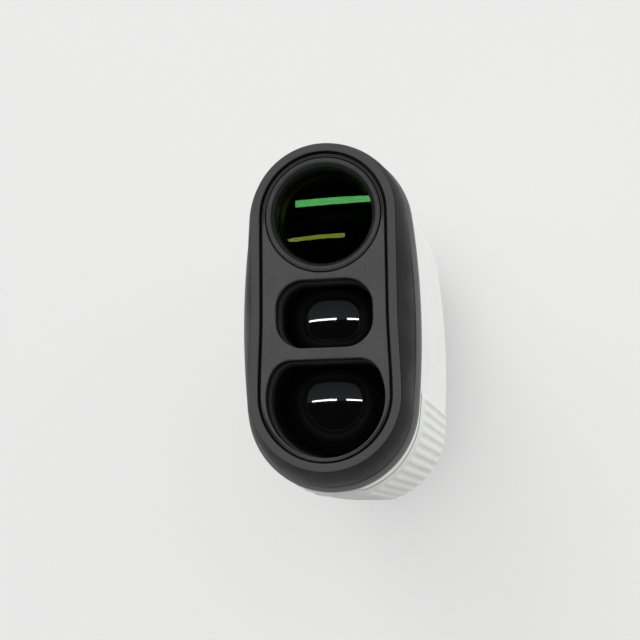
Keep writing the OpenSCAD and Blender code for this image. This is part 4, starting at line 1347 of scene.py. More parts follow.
    def well(self, outline: Outline) -> Surface:
        """Tapering well behind a window, with a stepped inner wall against stray light.

        Args:
            outline: Outline of the window.

        Returns:
            The closed surface.
        """
        deep, wide = self.hood_end, self.hood_taper
        inner: list[tuple[Array, float, int]] = []
        for k in range(self.well_steps):
            u, v = k / self.well_steps, (k + self.step_share) / self.well_steps
            depth_u = self.panel_end + (deep - self.panel_end) * u
            depth_v = self.panel_end + (deep - self.panel_end) * v
            inner += [(at_depth(outline(-wide * u), depth_u), self.step_in, 0),
                      (at_depth(outline(-wide * u - self.step_in), depth_v), self.step_in, 0)]
        return grid(rail([
            *inner,
            (at_depth(outline(-wide), deep), 0.1, 0),
            (at_depth(outline(self.hood_wall - wide), deep), 0.1, 1),
            (at_depth(outline(self.hood_wall), self.panel_end), 0.1, 0),
        ], closed=True), wrap_rows=True)

    def element(self, faces: Faces, lean: float = 0.0) -> Surface:
        """Round lens whose two faces are spheres.

        Args:
            faces: For the front and the rear face its depth on the axis and its radius, which is
                positive where the sphere's centre lies behind the face.
            lean: Slope by which the front face looks down.

        Returns:
            The closed surface.
        """
        reach = np.linspace(0.0, self.lens_r, 60)
        face, back = (np.column_stack([reach, depth + np.sign(curve) * sag(abs(curve), reach)])
                      for depth, curve in faces)
        middle = (faces[0][0] + faces[1][0]) / 2
        body = turned(np.vstack([face, back[::-1]]), (0, 0, self.axis_h), 1, 200)
        return body.bent(lambda points: points - np.column_stack([
            0 * points[:, 0],
            np.where(points[:, 1] < middle, lean * (points[:, 2] - self.axis_h), 0.0),
            0 * points[:, 0]]))

    def dome(self, outline: Outline, height: float, curve: float, steps: int = 24) -> Surface:
        """Domed lens: rings of its outline drawn in to the apex, set back by a sphere's sag.

        Args:
            outline: Outline of the window.
            height: Height of the apex.
            curve: Radius of the sphere.
            steps: Number of rings.

        Returns:
            The closed surface.
        """
        edge = even(outline(-self.dome_trim), self.dome_points)
        centre = np.array([0.0, height])
        rings = [centre + (edge - centre) * k / steps for k in range(steps + 1)]
        rows = [at_depth(ring, 0.0) + np.column_stack([
            np.zeros(len(ring)), self.dome_d + sag(curve, np.linalg.norm(ring - centre, axis=1)),
            np.zeros(len(ring))]) for ring in rings]
        return grid(np.stack([*rows, at_depth(edge, self.hood_end),
                              at_depth(centre + (edge - centre) * MERGE, self.hood_end)]))

    def build(self, bench: Bench) -> None:
        """Makes the pieces, and dresses the lenses and the tube.

        Args:
            bench: The bench.
        """
        emitter, receiver = self.emitter.outline, self.receiver.outline
        for name, surface, slot, node, more in (
                ("bezel_face", self.bezel(), "bezel", "front_bezel", {}),
                ("panel_face", self.panel(), "panel", "front_panel", {}),
                ("sight_ring", self.sight_ring(), "ring", "objective_ring", {"sharp": 50}),
                ("emitter_well", self.well(emitter), "black_inner", "emitter_hood", {}),
                ("receiver_well", self.well(receiver), "black_inner", "receiver_hood", {}),
                ("objective_front", self.element(self.front_faces), "coated_glass",
                 "objective_lens", {}),
                ("objective_rear", self.element(self.rear_faces, self.rear_lean), "coated_glass",
                 "objective_rear_lens", {"look": "green_glass"}),
                ("emitter_dome", self.dome(emitter, *self.emitter_crown), "dark_glass",
                 "emitter_lens", {}),
                ("receiver_dome", self.dome(receiver, *self.receiver_crown), "dark_glass",
                 "receiver_lens", {})):
            bench.add(name, surface, slot, "housing", [node], **more)
        bench.dress("black_inner", "objective_tube", "eyepiece_tube", "ocular_cell")


@dataclass
class Shells:
    """The two side shells, the belly grip and the screws."""

    wall: float = 1.8
    gap: float = 0.1
    rings: int = 40
    edge: float = 0.25
    head_r: float = 1.8
    head_t: float = 1.0
    screw_r: float = 0.8
    posts: tuple[tuple[float, float], ...] = ((20.5, 31.0), (41.0, 10.0), (82.0, 38.0))
    button_holes: tuple[tuple[float, float], ...] = ((45.5, 5.85), (58.5, 4.05))
    switch_d: float = 70.0
    switch_h: float = 40.0
    track: tuple[float, float] = (6.05, 2.75)
    slot: tuple[float, float] = (3.2, 0.8)
    track_floor: float = -18.1
    outside_x: float = -21.0
    stem_x: float = -10.0
    button_cut: tuple[float, float] = (66.0, 80.0)
    grip_from: float = 16.0
    grip_to: float = 68.0
    grip_h: float = 22.0
    ribs: int = 14
    rib_h: float = 0.36
    grip_t: float = 0.5
    rib_points: int = 10
    rim_share: float = 0.2
    ease: float = 3.0

    def depths(self) -> Array:
        """Depths of the rings, closer at the rear edge, where the outline rounds in.

        Returns:
            Depths from the front to the rear.
        """
        run = np.linspace(FORM.shell_start, FORM.shell_end - self.edge, self.rings)
        turn = np.sin(np.linspace(0, np.pi / 2, 6)[1:])
        return np.concatenate([run, FORM.shell_end - self.edge + self.edge * turn])

    def section(self, depth: float, inside_by: float) -> Array:
        """Right half of the section, kept clear of the middle.

        Args:
            depth: Depth of the section.
            inside_by: Distance inwards.

        Returns:
            Points from the top to the bottom.
        """
        past = max(0.0, depth - (FORM.shell_end - self.edge))
        rounding = self.edge - math.sqrt(max(0.0, self.edge ** 2 - past ** 2))
        half = FORM.half(depth, inside_by + (rounding if inside_by == 0 else 0))
        return np.column_stack([np.maximum(half[:, 0], self.gap / 2), half[:, 1]])

    def side(self, way: int) -> Surface:
        """Curved wall of one side: rings of the outer half section and back along the inner one.

        Args:
            way: 1 for the right side and -1 for the left.

        Returns:
            A closed surface, with both ends capped by a strip.
        """
        rows = []
        for depth in self.depths():
            ring = np.vstack([self.section(depth, 0.0), self.section(depth, self.wall)[::-1]])
            rows.append(at_depth(ring * [way, 1], depth))
        return capped(rows)

    def edge_width(self, depth: float, height: float) -> float:
        """Half width of the body at a depth and height."""
        half = FORM.oval(depth).half()
        return float(np.interp(-height, -half[:, 1], half[:, 0]))

    def rod(self, depth: float, height: float, radius: float, start: float, end: float) -> Surface:
        """Closed rod across the body, for a bore."""
        profile = np.array([[0, start], [radius, start], [radius, end], [0, end]])
        return turned(profile, (0, depth, height), 0, 40, closed=False)

    def box(self, x: tuple[float, float], half: tuple[float, float]) -> Surface:
        """Box with rounded corners round the switch, from x to x.

        Args:
            x: Where it starts and ends across the body.
            half: Half its size along the body and upright.

        Returns:
            The closed surface.
        """
        shape = RoundedBox(half[0], half[1], 0.5, self.switch_h)
        return plate(Plane.SIDE, lambda off: shape.outline(off, 5) + [self.switch_d, 0],
                     [(0.0, x[0], 0.0), (0.0, x[1], 0.0)])

    def bores(self) -> list[Cut]:
        """Cuts in the left shell: screw holes, their recesses, and the switch's pocket and slot.

        Returns:
            The cuts, in order.
        """
        cuts: list[Cut] = []
        for depth, height in self.posts:
            edge = self.edge_width(depth, height - self.head_r)
            for radius, end in ((self.screw_r + 0.1, -self.gap),
                                (self.head_r + 0.15, -edge + self.head_t + 0.4)):
                cuts.append((self.rod(depth, height, radius, self.outside_x, end), "DIFFERENCE"))
        for end, half in ((self.track_floor, self.track), (self.stem_x, self.slot)):
            cuts.append((self.box((self.outside_x, end), half), "DIFFERENCE"))
        return cuts

    def holes(self) -> list[Cut]:
        """Cuts for the buttons in both shells.

        Returns:
            The cuts, in order.
        """
        cuts: list[Cut] = []
        low, high = self.button_cut
        for depth, radius in self.button_holes:
            profile = np.array([[0, low], [radius, low], [radius, high], [0, high]])
            cuts.append((turned(profile, (0, depth, 0), 2, 64, closed=False), "DIFFERENCE"))
        return cuts

    def grip_line(self, depth: float, off: Array) -> Array:
        """Half of the grip's section, from its upper edge down to the middle of the belly.

        The distance along the section is measured down the side arc and on round the belly, and
        each point stands off the shell by its own distance.

        Args:
            depth: Depth of the section.
            off: Distance off the shell at equal steps along the section.

        Returns:
            Points of (x, height).
        """
        o = FORM.oval(depth)
        join = o.low_h + o.low_r * math.sin(math.radians(o.low_a))
        side = self.grip_h - join
        total = side + o.low_r * math.radians(90 + o.low_a)
        along = np.linspace(0, total, len(off))
        up = np.arcsin((self.grip_h - np.minimum(along, side) - o.mid) / o.side_r)
        turn = np.radians(o.low_a) - (np.maximum(along, side) - side) / o.low_r
        on_side = along < side
        side_out, low_out = o.side_r + off, o.low_r + off
        x = np.where(on_side, o.half_w - o.side_r + side_out * np.cos(up), low_out * np.cos(turn))
        h = np.where(on_side, o.mid + side_out * np.sin(up), o.low_h + low_out * np.sin(turn))
        return np.column_stack([x, h])

    def grip(self) -> Surface:
        """Ribbed skin: each rib is half a wave across the section, and fades at both ends.

        Returns:
            The closed surface.
        """
        steps = self.ribs * self.rib_points
        along = np.arange(steps + 1) / self.rib_points
        wave = smooth(1.6 * (0.5 - 0.5 * np.cos(2 * np.pi * (along % 1.0))) - 0.3)
        full = 1.0 - self.rim_share
        rim = self.rim_share + full * smooth(along / 0.5)
        ends = self.grip_from + self.ease * np.linspace(0, 1, 8)
        mid = np.linspace(self.grip_from + self.ease, self.grip_to - self.ease, 30)[1:-1]
        rows = []
        for depth in np.concatenate([ends, mid, (self.grip_from + self.grip_to - ends)[::-1]]):
            way_in = min(depth - self.grip_from, self.grip_to - depth)
            fade = self.rim_share + full * math.sqrt(float(smooth(way_in / self.ease)))
            ribbed = float(smooth((way_in - 1.0) / (self.ease + 2.0)))
            outer = self.grip_line(
                depth, self.gap + fade * rim * (self.grip_t + self.rib_h * wave * ribbed))
            inner = self.grip_line(depth, np.full(steps + 1, self.gap))
            outer[:, 1] = np.maximum(outer[:, 1], 0.0)
            inner[:, 1] = np.maximum(inner[:, 1], FORM.floor_h - 0.05)
            left = [-1, 1]
            ring = np.vstack([outer, (outer * left)[-2::-1], inner * left, inner[-2::-1]])
            rows.append(at_depth(ring, depth))
        return capped(rows)

    def build(self, bench: Bench) -> None:
        """Makes the shells and the grip, and dresses the screws.

        Args:
            bench: The bench.
        """
        bench.add("right_side", self.side(1), "white_shell", "housing", ["right_shell"],
                  self.holes())
        bench.add("left_side", self.side(-1), "white_shell", "housing", ["left_shell"],
                  self.holes() + self.bores())
        bench.add("belly_grip", self.grip(), "grip_rubber", "housing", ["grip_pad"], sharp=60)
        bench.dress("screw_steel", "housing_screws", "rear_screws", "hinge_pin")


@dataclass
class TopControls:
    """Pad on the top with its two buttons, and the board and domes under them."""

    start: float = 33.0
    length: float = 34.0
    half_w: float = 9.0
    thick: float = 0.9
    gap: float = 0.1
    proud: float = 1.0
    hole_gap: float = 0.25
    pitch: float = 0.9
    collar: float = 0.8
    power: tuple[float, float] = (45.5, 5.6)
    mode: tuple[float, float] = (58.5, 3.8)

    def stadium(self, off: float) -> Array:
        """Outline of the pad as (x, depth)."""
        r, middle = self.half_w + off, self.start + self.length / 2
        reach = self.length / 2 - self.half_w
        return np.vstack([arc(r, (0, middle + reach), 0, 180, 48),
                          arc(r, (0, middle - reach), 180, 360, 48)])

    def pad(self) -> Surface:
        """Plate laid on the body's top round: each height is taken from a circle about its axis.

        Returns:
            The closed surface.
        """
        form = FORM.oval(self.start)
        base = form.top_r + self.gap

        def lay(points: Array) -> Array:
            """Moves each point from its height over the flat to that distance off the body."""
            radius = base + points[:, 2]
            return np.column_stack([points[:, :2],
                                    form.top_h + np.sqrt(radius ** 2 - points[:, 0] ** 2)])

        holes = [(lambda off, at=at, r=r: circle(r + self.hole_gap + off, (0, at), 96),
                  [(0.0, 0.0, 0.05), (0.0, self.thick, 0.25)]) for at, r in (self.power, self.mode)]
        rim = [(0.0, 0.0, 0.05), (0.0, self.thick, 0.45)]
        return plate(Plane.LEVEL, self.stadium, rim, holes, self.pitch).bent(lay)

    def button(self, at: tuple[float, float], bottom: float) -> Surface:
        """Turned button: a collar below the shell, a rounded shoulder, and a dished top with a rim.

        Args:
            at: The button's depth and radius.
            bottom: Height of its lower face.

        Returns:
            The closed surface.
        """
        depth, r = at
        top = FORM.top + self.gap + self.thick + self.proud
        crown = [(r * k / 6, top - 0.35 + 0.1 * (k / 6) ** 2, 0.0) for k in range(4)]
        profile = rounded_profile([
            (0.0, bottom, 0.0), (r + self.collar, bottom, 0.1),
            (r + self.collar, bottom + self.collar, 0.1), (r, bottom + self.collar, 0.1),
            (r, top - 0.05, 0.5), (r - 0.95, top, 0.3), (r - 1.35, top - 0.27, 0.3),
            *crown[::-1]], closed=False)
        return turned(profile, (0, depth, 0), 2, 96, closed=False)

    def build(self, bench: Bench) -> None:
        """Makes the pad and the buttons, and dresses what is under them.

        Args:
            bench: The bench.
        """
        bench.add("top_cushion", self.pad(), "pad", "housing", ["top_pad"])
        for name, node, body, at in (("power_cap", "power_button", "power_button_body", self.power),
                                     ("mode_cap", "mode_button", "mode_button_body", self.mode)):
            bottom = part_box(node)[0].z / MM
            bench.add(name, self.button(at, bottom), "button", body, [node])
        bench.dress("board", "button_board", "main_board", "emitter_board", "receiver_board")
        bench.dress("dome_steel", "button_domes")


@dataclass
class EyeEnd:
    """Rear cover, battery door, dioptre ring and eyecup."""

    axis_h: float = 59.8
    battery_h: float = 18.4
    cover_d: float = 86.5
    cover_t: float = 3.0
    tube_r: float = 11.0
    sleeve_r: float = 8.1
    screws: tuple[tuple[float, float], ...] = ((-12.0, 43.0), (12.0, 43.0), (0.0, 33.0))
    head_r: float = 1.8
    head_t: float = 1.0
    screw_r: float = 0.8
    lug_r: float = 3.2
    lug_bore: float = 1.6
    lug_x: tuple[float, float] = (7.0, 10.0)
    lug_h: float = 36.0
    door_half: float = 10.0
    door_t: float = 2.0
    door_corner: float = 2.5
    hinge_x: float = -11.9
    hinge_r: float = 1.7
    pin_r: float = 0.8
    knuckle: float = 9.0
    knuckle_end: float = 3.0
    gap: float = 0.1
    wheel_r: float = 13.7
    wheel_w: float = 3.0
    ridges: int = 36
    flute_points: int = 12
    flute_d: float = 0.4
    flute_in: float = 1.2
    cup_r: float = 14.5
    cup_open: float = 8.8
    cup_rim: float = 1.3
    skirt_ribs: int = 3
    skirt_start: float = 0.9
    skirt_pitch: float = 1.0
    seal_t: float = 1.1
    door_seal_off: float = 0.75
    door_seal_r: float = 0.52
    door_seal_d: float = 0.97
    finger_bars: tuple[float, ...] = (5.2, 6.7, 8.2)
    total: float = 100.0

    @property
    def cover_end(self) -> float:
        """Depth of the rear face of the cover."""
        return self.cover_d + self.cover_t

    @property
    def hinge_d(self) -> float:
        """Depth of the hinge's axis."""
        return self.cover_end + self.hinge_r + self.gap

    @property
    def wheel_d(self) -> float:
        """Depth of the front face of the dioptre ring, behind the eyepiece's seal."""
        return self.cover_end + self.seal_t

    def barrel(self, low: float, high: float) -> Surface:
        """Upright hinge barrel with rounded ends and a bore.

        Args:
            low: Height of its lower end.
            high: Height of its upper end.

        Returns:
            The closed surface.
        """
        r, bore = self.hinge_r, self.pin_r + 0.05
        profile = rounded_profile([(bore, low, 0.05), (r, low, 0.2), (r, high, 0.2),
                                   (bore, high, 0.05)])
        return turned(profile, (self.hinge_x, self.hinge_d, 0), 2, 48)

    def foot(self, low: float, high: float, x: tuple[float, float],
             depth: tuple[float, float]) -> Surface:
        """Block that ties a barrel to its plate.

        Args:
            low: Height of its lower face.
            high: Height of its upper face.
            x: Its reach across the body.
            depth: Its reach in depth.

        Returns:
            The closed surface.
        """
        shape = RoundedBox((x[1] - x[0]) / 2, (depth[1] - depth[0]) / 2, 0.1,
                           (depth[0] + depth[1]) / 2)
        return plate(Plane.LEVEL, lambda off: shape.outline(off, 3) + [(x[0] + x[1]) / 2, 0],
                     [(0.0, low, 0.1), (0.0, high, 0.1)])

    def lug(self) -> Surface:
        """Cord eye: a round tab that flares where it meets the cover.

        Returns:
            The closed surface.
        """
        middle = self.cover_end + self.lug_r + 0.4

        def tab(off: float) -> Array:
            """Outline of the tab as (depth, height).

            Args:
                off: Distance outwards.

            Returns:
                Array of (n, 2) points.
            """
            r = self.lug_r + off
            flare = np.array([[self.cover_end - 1.0, r + 1.1], [self.cover_end - 0.05, r + 1.1],
                              [self.cover_end + 0.35, r + 0.5], [self.cover_end + 1.0, r + 0.12],
                              [self.cover_end + 1.9, r]])
            crown = arc(r, (middle, 0), 90, -90, 36)
            return np.vstack([flare, crown, flare[::-1] * [1, -1]]) + [0, self.lug_h]

        bore = (lambda off: circle(self.lug_bore + off, (middle, self.lug_h), 48),
                [(0.0, self.lug_x[0], 0.35), (0.0, self.lug_x[1], 0.35)])
        rim = [(0.0, self.lug_x[0], 0.5), (0.0, self.lug_x[1], 0.5)]
        return plate(Plane.SIDE, tab, rim, [bore])

    def cover(self) -> Surface:
        """Plate on the body's rear section, with its holes stepped for the screw heads.

        Returns:
            The closed surface.
        """
        oval = FORM.oval(self.cover_d)
        low, high = self.cover_d, self.cover_end
        step_in, seat = self.screw_r - self.head_r, high - self.head_t
        head = [(step_in, low, 0.05), (step_in, seat, 0.05), (0.0, seat, 0.05), (0.0, high, 0.15)]
        through = [(0.0, low, 0.05), (0.0, high, 0.15)]
        holes = [(lambda off: circle(self.tube_r + 0.02 + off, (0, self.axis_h), 128), through),
                 (lambda off: circle(self.sleeve_r + off, (0, self.battery_h), 96), through)]
        for x, h in self.screws:
            holes.append((lambda off, x=x, h=h: circle(self.head_r + 0.1 + off, (x, h), 48), head))
        return plate(Plane.ACROSS, lambda off: whole(oval.shrunk(-off).half()),
                     [(0.0, low, 0.2), (0.0, high, 0.9)], holes)

    def hinge_ends(self) -> list[Cut]:
        """The cover's two barrels and their feet.

        Returns:
            The pieces to join.
        """
        reach = self.knuckle / 2 + self.gap
        cuts: list[Cut] = []
        for low in (self.battery_h + reach, self.battery_h - reach - self.knuckle_end):
            high = low + self.knuckle_end
            across = (self.hinge_x - self.hinge_r, self.hinge_x - self.pin_r - 0.1)
            cuts += [(self.foot(low, high, across, (self.cover_end - 1, self.hinge_d)), "UNION"),
                     (self.barrel(low, high), "UNION")]
        return cuts

    def door(self) -> Surface:
        """Plate of the battery door.

        Returns:
            The closed surface.
        """
        low = self.cover_end + self.gap
        shape = RoundedBox(self.door_half, self.door_half, self.door_corner, self.battery_h)
        return plate(Plane.ACROSS, shape.outline, [(0.0, low, 0.15), (0.0, low + self.door_t, 0.6)])

    def door_parts(self) -> list[Cut]:
        """The door's barrel and tongue, three finger ridges, and the groove for its seal.

        Returns:
            The cuts and the pieces to join, in order.
        """
        low, high = self.battery_h - self.knuckle / 2, self.battery_h + self.knuckle / 2
        start = self.cover_end + self.gap
        groove_r, seal_r = self.sleeve_r + self.door_seal_off, self.door_seal_r
        near, far = start - 1, start + self.door_seal_d
        groove = np.array([[groove_r - seal_r, near], [groove_r + seal_r, near],
                           [groove_r + seal_r, far], [groove_r - seal_r, far]])
        cuts: list[Cut] = [
            (turned(groove, (0, 0, self.battery_h), 1, 96), "DIFFERENCE"),
            (self.foot(low, high, (self.hinge_x + self.pin_r + 0.1, 1 - self.door_half),
                       (self.hinge_d - 0.7, start + self.door_t - 0.05)), "UNION"),
            (self.barrel(low, high), "UNION")]
        for x in self.finger_bars:
            bar = RoundedBox(0.28, 4.2, 0.28, self.battery_h)
            rim = [(0.0, start + 1.0, 0.0), (0.0, start + self.door_t + 0.3, 0.2)]
            cuts.append((plate(Plane.ACROSS, lambda off, x=x, bar=bar: bar.outline(off, 5) + [x, 0],
                               rim), "UNION"))
        return cuts

    def wheel(self) -> Surface:
        """Dioptre ring: a rounded rim cut by shallow flutes, whose depth is a raised cosine.

        Returns:
            The closed surface.
        """
        start, end = self.wheel_d, self.wheel_d + self.wheel_w
        profile = rounded_profile([(self.tube_r + 0.05, start, 0.1), (self.wheel_r, start, 0.35),
                                   (self.wheel_r, end, 0.35), (self.tube_r + 0.05, end, 0.1)])
        profile = np.vstack([profile, profile[:1]])
        dense = np.vstack([np.linspace(a, b, 5)[:-1] for a, b in zip(profile[:-1], profile[1:])])
        base = turned(dense, (0, 0, self.axis_h), 1, self.ridges * self.flute_points)

        def flute(points: Array) -> Array:
            """Draws points near the rim inwards at each flute.

            Args:
                points: Array of (n, 3) points.

            Returns:
                The moved points.
            """
            x, h = points[:, 0], points[:, 2] - self.axis_h
            radius, angle = np.hypot(x, h), np.arctan2(h, x)
            cut = np.clip(np.cos(angle * self.ridges) * 1.5 - 0.5, 0, 1) * self.flute_d
            share = smooth(radius - self.wheel_r + self.flute_in)
            scale = (radius - cut * share) / radius
            return np.column_stack([x * scale, points[:, 1], self.axis_h + h * scale])

        return base.bent(flute)

    def cup(self) -> Surface:
        """Eyecup: a soft rolled rim over a ribbed skirt.

        Returns:
            The closed surface.
        """
        start, rim = self.wheel_d + self.wheel_w + 0.3, self.total - self.cup_rim
        r, bore = self.cup_r, self.tube_r + 0.05
        skirt = []
        for k in range(self.skirt_ribs):
            at = start + self.skirt_start + self.skirt_pitch * k
            skirt += [(r, at, 0.15), (r - 0.22, at + 0.25, 0.12), (r, at + 0.5, 0.15)]
        return turned(rounded_profile([
            (bore, start, 0.1), (r - 0.15, start, 0.3), *skirt, (r, rim - 0.3, 0.4),
            (r - 0.35, self.total - 0.2, 0.6), (r - 2.4, self.total, 0.9),
            (self.cup_open + 0.5, self.total - 0.35, 0.5), (self.cup_open, rim + 0.1, 0.2),
            (self.cup_open, rim, 0.05), (bore, rim, 0.05)]), (0, 0, self.axis_h), 1, 144)

    def build(self, bench: Bench) -> None:
        """Makes the pieces, and dresses the eye lenses, the battery and the seals.

        Args:
            bench: The bench.
        """
        bench.add("back_plate", self.cover(), "bezel", "housing", ["rear_cover"],
                  [(self.lug(), "UNION"), *self.hinge_ends()])
        bench.add("cell_door", self.door(), "door", "door", ["battery_door"], self.door_parts())
        bench.add("dioptre_wheel", self.wheel(), "control", "dioptre_body", ["dioptre_ring"],
                  sharp=45)
        bench.add("eye_cup", self.cup(), "rubber", "eyecup_body", ["eyecup"], sharp=50)
        bench.dress("eye_glass", "field_lens", "eye_lens")
        bench.dress("rubber", "eyepiece_seal", "door_seal")
        bench.dress("cell_metal", "battery")
        bench.dress("spring_steel", "battery_spring")
        bench.dress("contact_brass", "door_contact")


@dataclass
class SlopeSwitch:
    """Sliding switch on the left side and its track."""

    at_d: float = 70.0
    at_h: float = 40.0
    floor: float = -18.1
    plate_t: float = 0.7
    knob_t: float = 0.75
    gap: float = 0.05
    knob: tuple[float, float] = (3.0, 1.8)
    track: tuple[float, float] = (6.0, 2.7)
    slot: tuple[float, float] = (3.2, 0.8)
    grooves: int = 4
    groove_pitch: float = 0.9
    groove_r: float = 0.24

    @property
    def knob_floor(self) -> float:
        """Where the knob's inner face lies across the body."""
        return self.floor - self.plate_t - self.gap

    def shape(self, half: tuple[float, float], corner: float) -> Outline:
        """Outline of a rounded box round the switch's middle, as (depth, height)."""
        box = RoundedBox(half[0], half[1], corner, self.at_h)
        return lambda off: box.outline(off, 8) + [self.at_d, 0]

    def track_plate(self) -> Surface:
        """Track with a slot for the knob's stem.

        Returns:
            The closed surface.
        """
        outer = self.floor - self.plate_t
        slot = [(0.0, outer, 0.1), (0.0, self.floor, 0.05)]
        return plate(Plane.SIDE, self.shape(self.track, 0.5),
                     [(0.0, outer, 0.2), (0.0, self.floor, 0.05)],
                     [(self.shape(self.slot, 0.3), slot)])

    def knob_cap(self) -> Surface:
        """Knob with a rounded crown.

        Returns:
            The closed surface.
        """
        rim = [(0.0, self.knob_floor - self.knob_t, 0.3), (0.0, self.knob_floor, 0.05)]
        return plate(Plane.SIDE, self.shape(self.knob, 1.0), rim)

    def knob_parts(self) -> list[Cut]:
        """The stem, and the finger grooves.

        Returns:
            The pieces to join and to cut, in order.
        """
        stem = RoundedBox(1.0, 0.7, 0.1, self.at_h)
        rim = [(0.0, self.knob_floor - 0.3, 0.0), (0.0, self.floor + 1.4, 0.1)]
        cuts: list[Cut] = [
            (plate(Plane.SIDE, lambda off: stem.outline(off, 3) + [self.at_d, 0], rim), "UNION")]
        r, reach = self.groove_r, 3
        profile = np.array([[0, -reach], [r, -reach], [r, reach], [0, reach]])
        for k in range(self.grooves):
            along = self.at_d + self.groove_pitch * (k - (self.grooves - 1) / 2)
            origin = (self.knob_floor - self.knob_t, along, self.at_h)
            cuts.append((turned(profile, origin, 2, 16, closed=False), "DIFFERENCE"))
        return cuts

    def build(self, bench: Bench) -> None:
        """Makes the track and the knob.

        Args:
            bench: The bench.
        """
        bench.add("slope_track", self.track_plate(), "pad", "housing", ["switch_plate"])
        bench.add("slope_knob", self.knob_cap(), "control", "slope_body", ["slope_switch"],
                  self.knob_parts())


@dataclass
class Inside:
    """Everything inside that keeps its shape."""

    kept: tuple[tuple[str, tuple[str, ...]], ...] = (
        ("brass_can", ("laser_diode",)),
        ("steel_can", ("detector", "vibration_motor")),
        ("chassis", ("optical_chassis", "prism_cage", "battery_sleeve")),
        ("prism_glass", ("prism_front", "prism_roof")),
        ("display", ("display_panel",)),
        ("chips", ("board_parts",)),
    )

    def build(self, bench: Bench) -> None:
        """Dresses the nodes."""
        for slot, names in self.kept:
            bench.dress(slot, *names)


# ---------------------------------------------------------------- stage


Ramp = tuple[float, float, float, float]


@dataclass
class Studio:
    """Camera, lamps, floor, backdrop and world."""

    pale: float = 0.855
    paper: tuple[float, float, float] = (0.52, 0.517, 0.514)
    glow: float = 0.36
    ambient: float = 1.14
    below: Ramp = (-0.8, 0.4, 0.36, 1.0)
    leftward: Ramp = (-1.0, 0.2, 0.78, 1.0)
    key_at: tuple[float, float, float] = (-0.5, -1.25, 1.0)
    key_aim: tuple[float, float, float] = (0.0, 0.0, 0.04)
    key_size: tuple[float, float] = (0.8, 0.8)
    key: float = 1.6
    tubes: tuple[tuple[str, float, float], ...] = (("left", -0.84, 0.0), ("right", 0.27, 1.2))
    tube_y: float = -1.05
    tube_h: float = 0.12
    tube_w: float = 0.04
    tube: float = 14.0
    lens_tube: float = 2.6
    coated: tuple[str, str] = ("objective_front", "objective_rear")
    card_y: float = -1.5
    card_hue: tuple[float, float, float] = (0.82, 0.96, 1.0)
    card_rise: Ramp = (0.1, 0.16, 0.006, 0.125)
    card_fall: Ramp = (0.2, 1.2, 1.0, 0.6)
    reach_out: float = 3.0
    wall_y: float = 0.0515
    lens: float = 73.1
    azimuth: float = 11.13
    elevation: float = -9.43
    roll: float = -0.66
    distance: float = 277.5
    target: tuple[float, float, float] = (-0.73, -50.0, 36.47)

    def camera(self) -> None:
        """Camera at a distance and direction from its target, rolled about its own axis."""
        a, e, r = (math.radians(v) for v in (self.azimuth, self.elevation, self.roll))
        back = Vector((math.sin(a) * math.cos(e), -math.cos(a) * math.cos(e), math.sin(e)))
        level = Vector((math.cos(a), math.sin(a), 0.0))
        upright = back.cross(level)
        right = level * math.cos(r) + upright * math.sin(r)
        up = upright * math.cos(r) - level * math.sin(r)
        place = (Vector(self.target) + back * self.distance) * MM
        data = bpy.data.cameras.new("camera")
        data.lens, data.sensor_width, data.clip_start = self.lens, 36.0, 0.01
        camera = placed("camera", data)
        turn = Matrix((right, up, back)).transposed().to_4x4()
        camera.matrix_world = Matrix.Translation(place) @ turn
        bpy.context.scene.camera = camera

    def lamp(self, name: str, place: tuple[float, float, float], aim: tuple[float, float, float],
             size: tuple[float, float], radiance: float) -> bpy.types.Object:
        """Area lamp whose face has a radiance.

        Args:
            name: Its name.
            place: Where it stands, in metres.
            aim: The point it faces.
            size: Its width and height.
            radiance: Radiance of its face.

        Returns:
            The lamp.
        """
        data = bpy.data.lights.new(name, "AREA")
        data.shape, data.size, data.size_y = "RECTANGLE", *size
        data.energy = radiance * math.pi * size[0] * size[1]
        lamp = placed(name, data)
        turn = (Vector(aim) - Vector(place)).to_track_quat("-Z", "Y").to_matrix().to_4x4()
        lamp.matrix_world = Matrix.Translation(place) @ turn
        return lamp

    def lamps(self) -> None:
        """A soft key from the upper front, and two long tubes that only gloss shows.

        Each tube is there twice: dim for the sight's coated lenses, and bright for all the rest.
        """
        key = self.lamp("key", self.key_at, self.key_aim, self.key_size, self.key)
        key.visible_glossy = key.visible_transmission = False
        for side, start, end in self.tubes:
            middle, size = (start + end) / 2, (end - start, self.tube_w)
            for radiance, state in ((self.tube, "EXCLUDE"), (self.lens_tube, "INCLUDE")):
                tube = self.lamp(f"tube_{side}_{state.lower()}", (middle, self.tube_y, self.tube_h),
                                 (middle, 0, self.tube_h), size, radiance)
                tube.visible_camera = tube.visible_diffuse = False
                self.reach(tube, state)

    def reach(self, source: bpy.types.Object, state: str) -> None:
        """Keeps a light to the sight's lenses ("INCLUDE") or away from them ("EXCLUDE").

        Args:
            source: The lamp or the card.
            state: Which of the two.
        """
        group = bpy.data.collections.new(f"{source.name}_reach")
        for name in self.coated:
            group.objects.link(bpy.data.objects[name])
        for entry in group.collection_objects:
            entry.light_linking.link_state = state
        source.light_linking.receiver_collection = group

    def world(self) -> None:
        """Pale where it is seen, and plain ambient light that is weaker from below and the left."""
        world = bpy.data.worlds.new("world")
        bpy.context.scene.world = world
        world.use_nodes = True
        w = Wire(world.node_tree)
        shader = w.find("BACKGROUND")
        shader.inputs["Color"].default_value = (1.0, 1.0, 1.0, 1.0)
        split = w.node("ShaderNodeSeparateXYZ")
        w.feed(split.inputs[0], w.node("ShaderNodeTexCoord").outputs["Generated"])
        low, high, dark, full = self.below
        up = w.ramp(split.outputs["Z"], low, high, dark * self.ambient, full * self.ambient)
        light = w.math("MULTIPLY", up, w.ramp(split.outputs["X"], *self.leftward))
        w.feed(shader.inputs["Strength"], self.seen(w, light, self.pale))

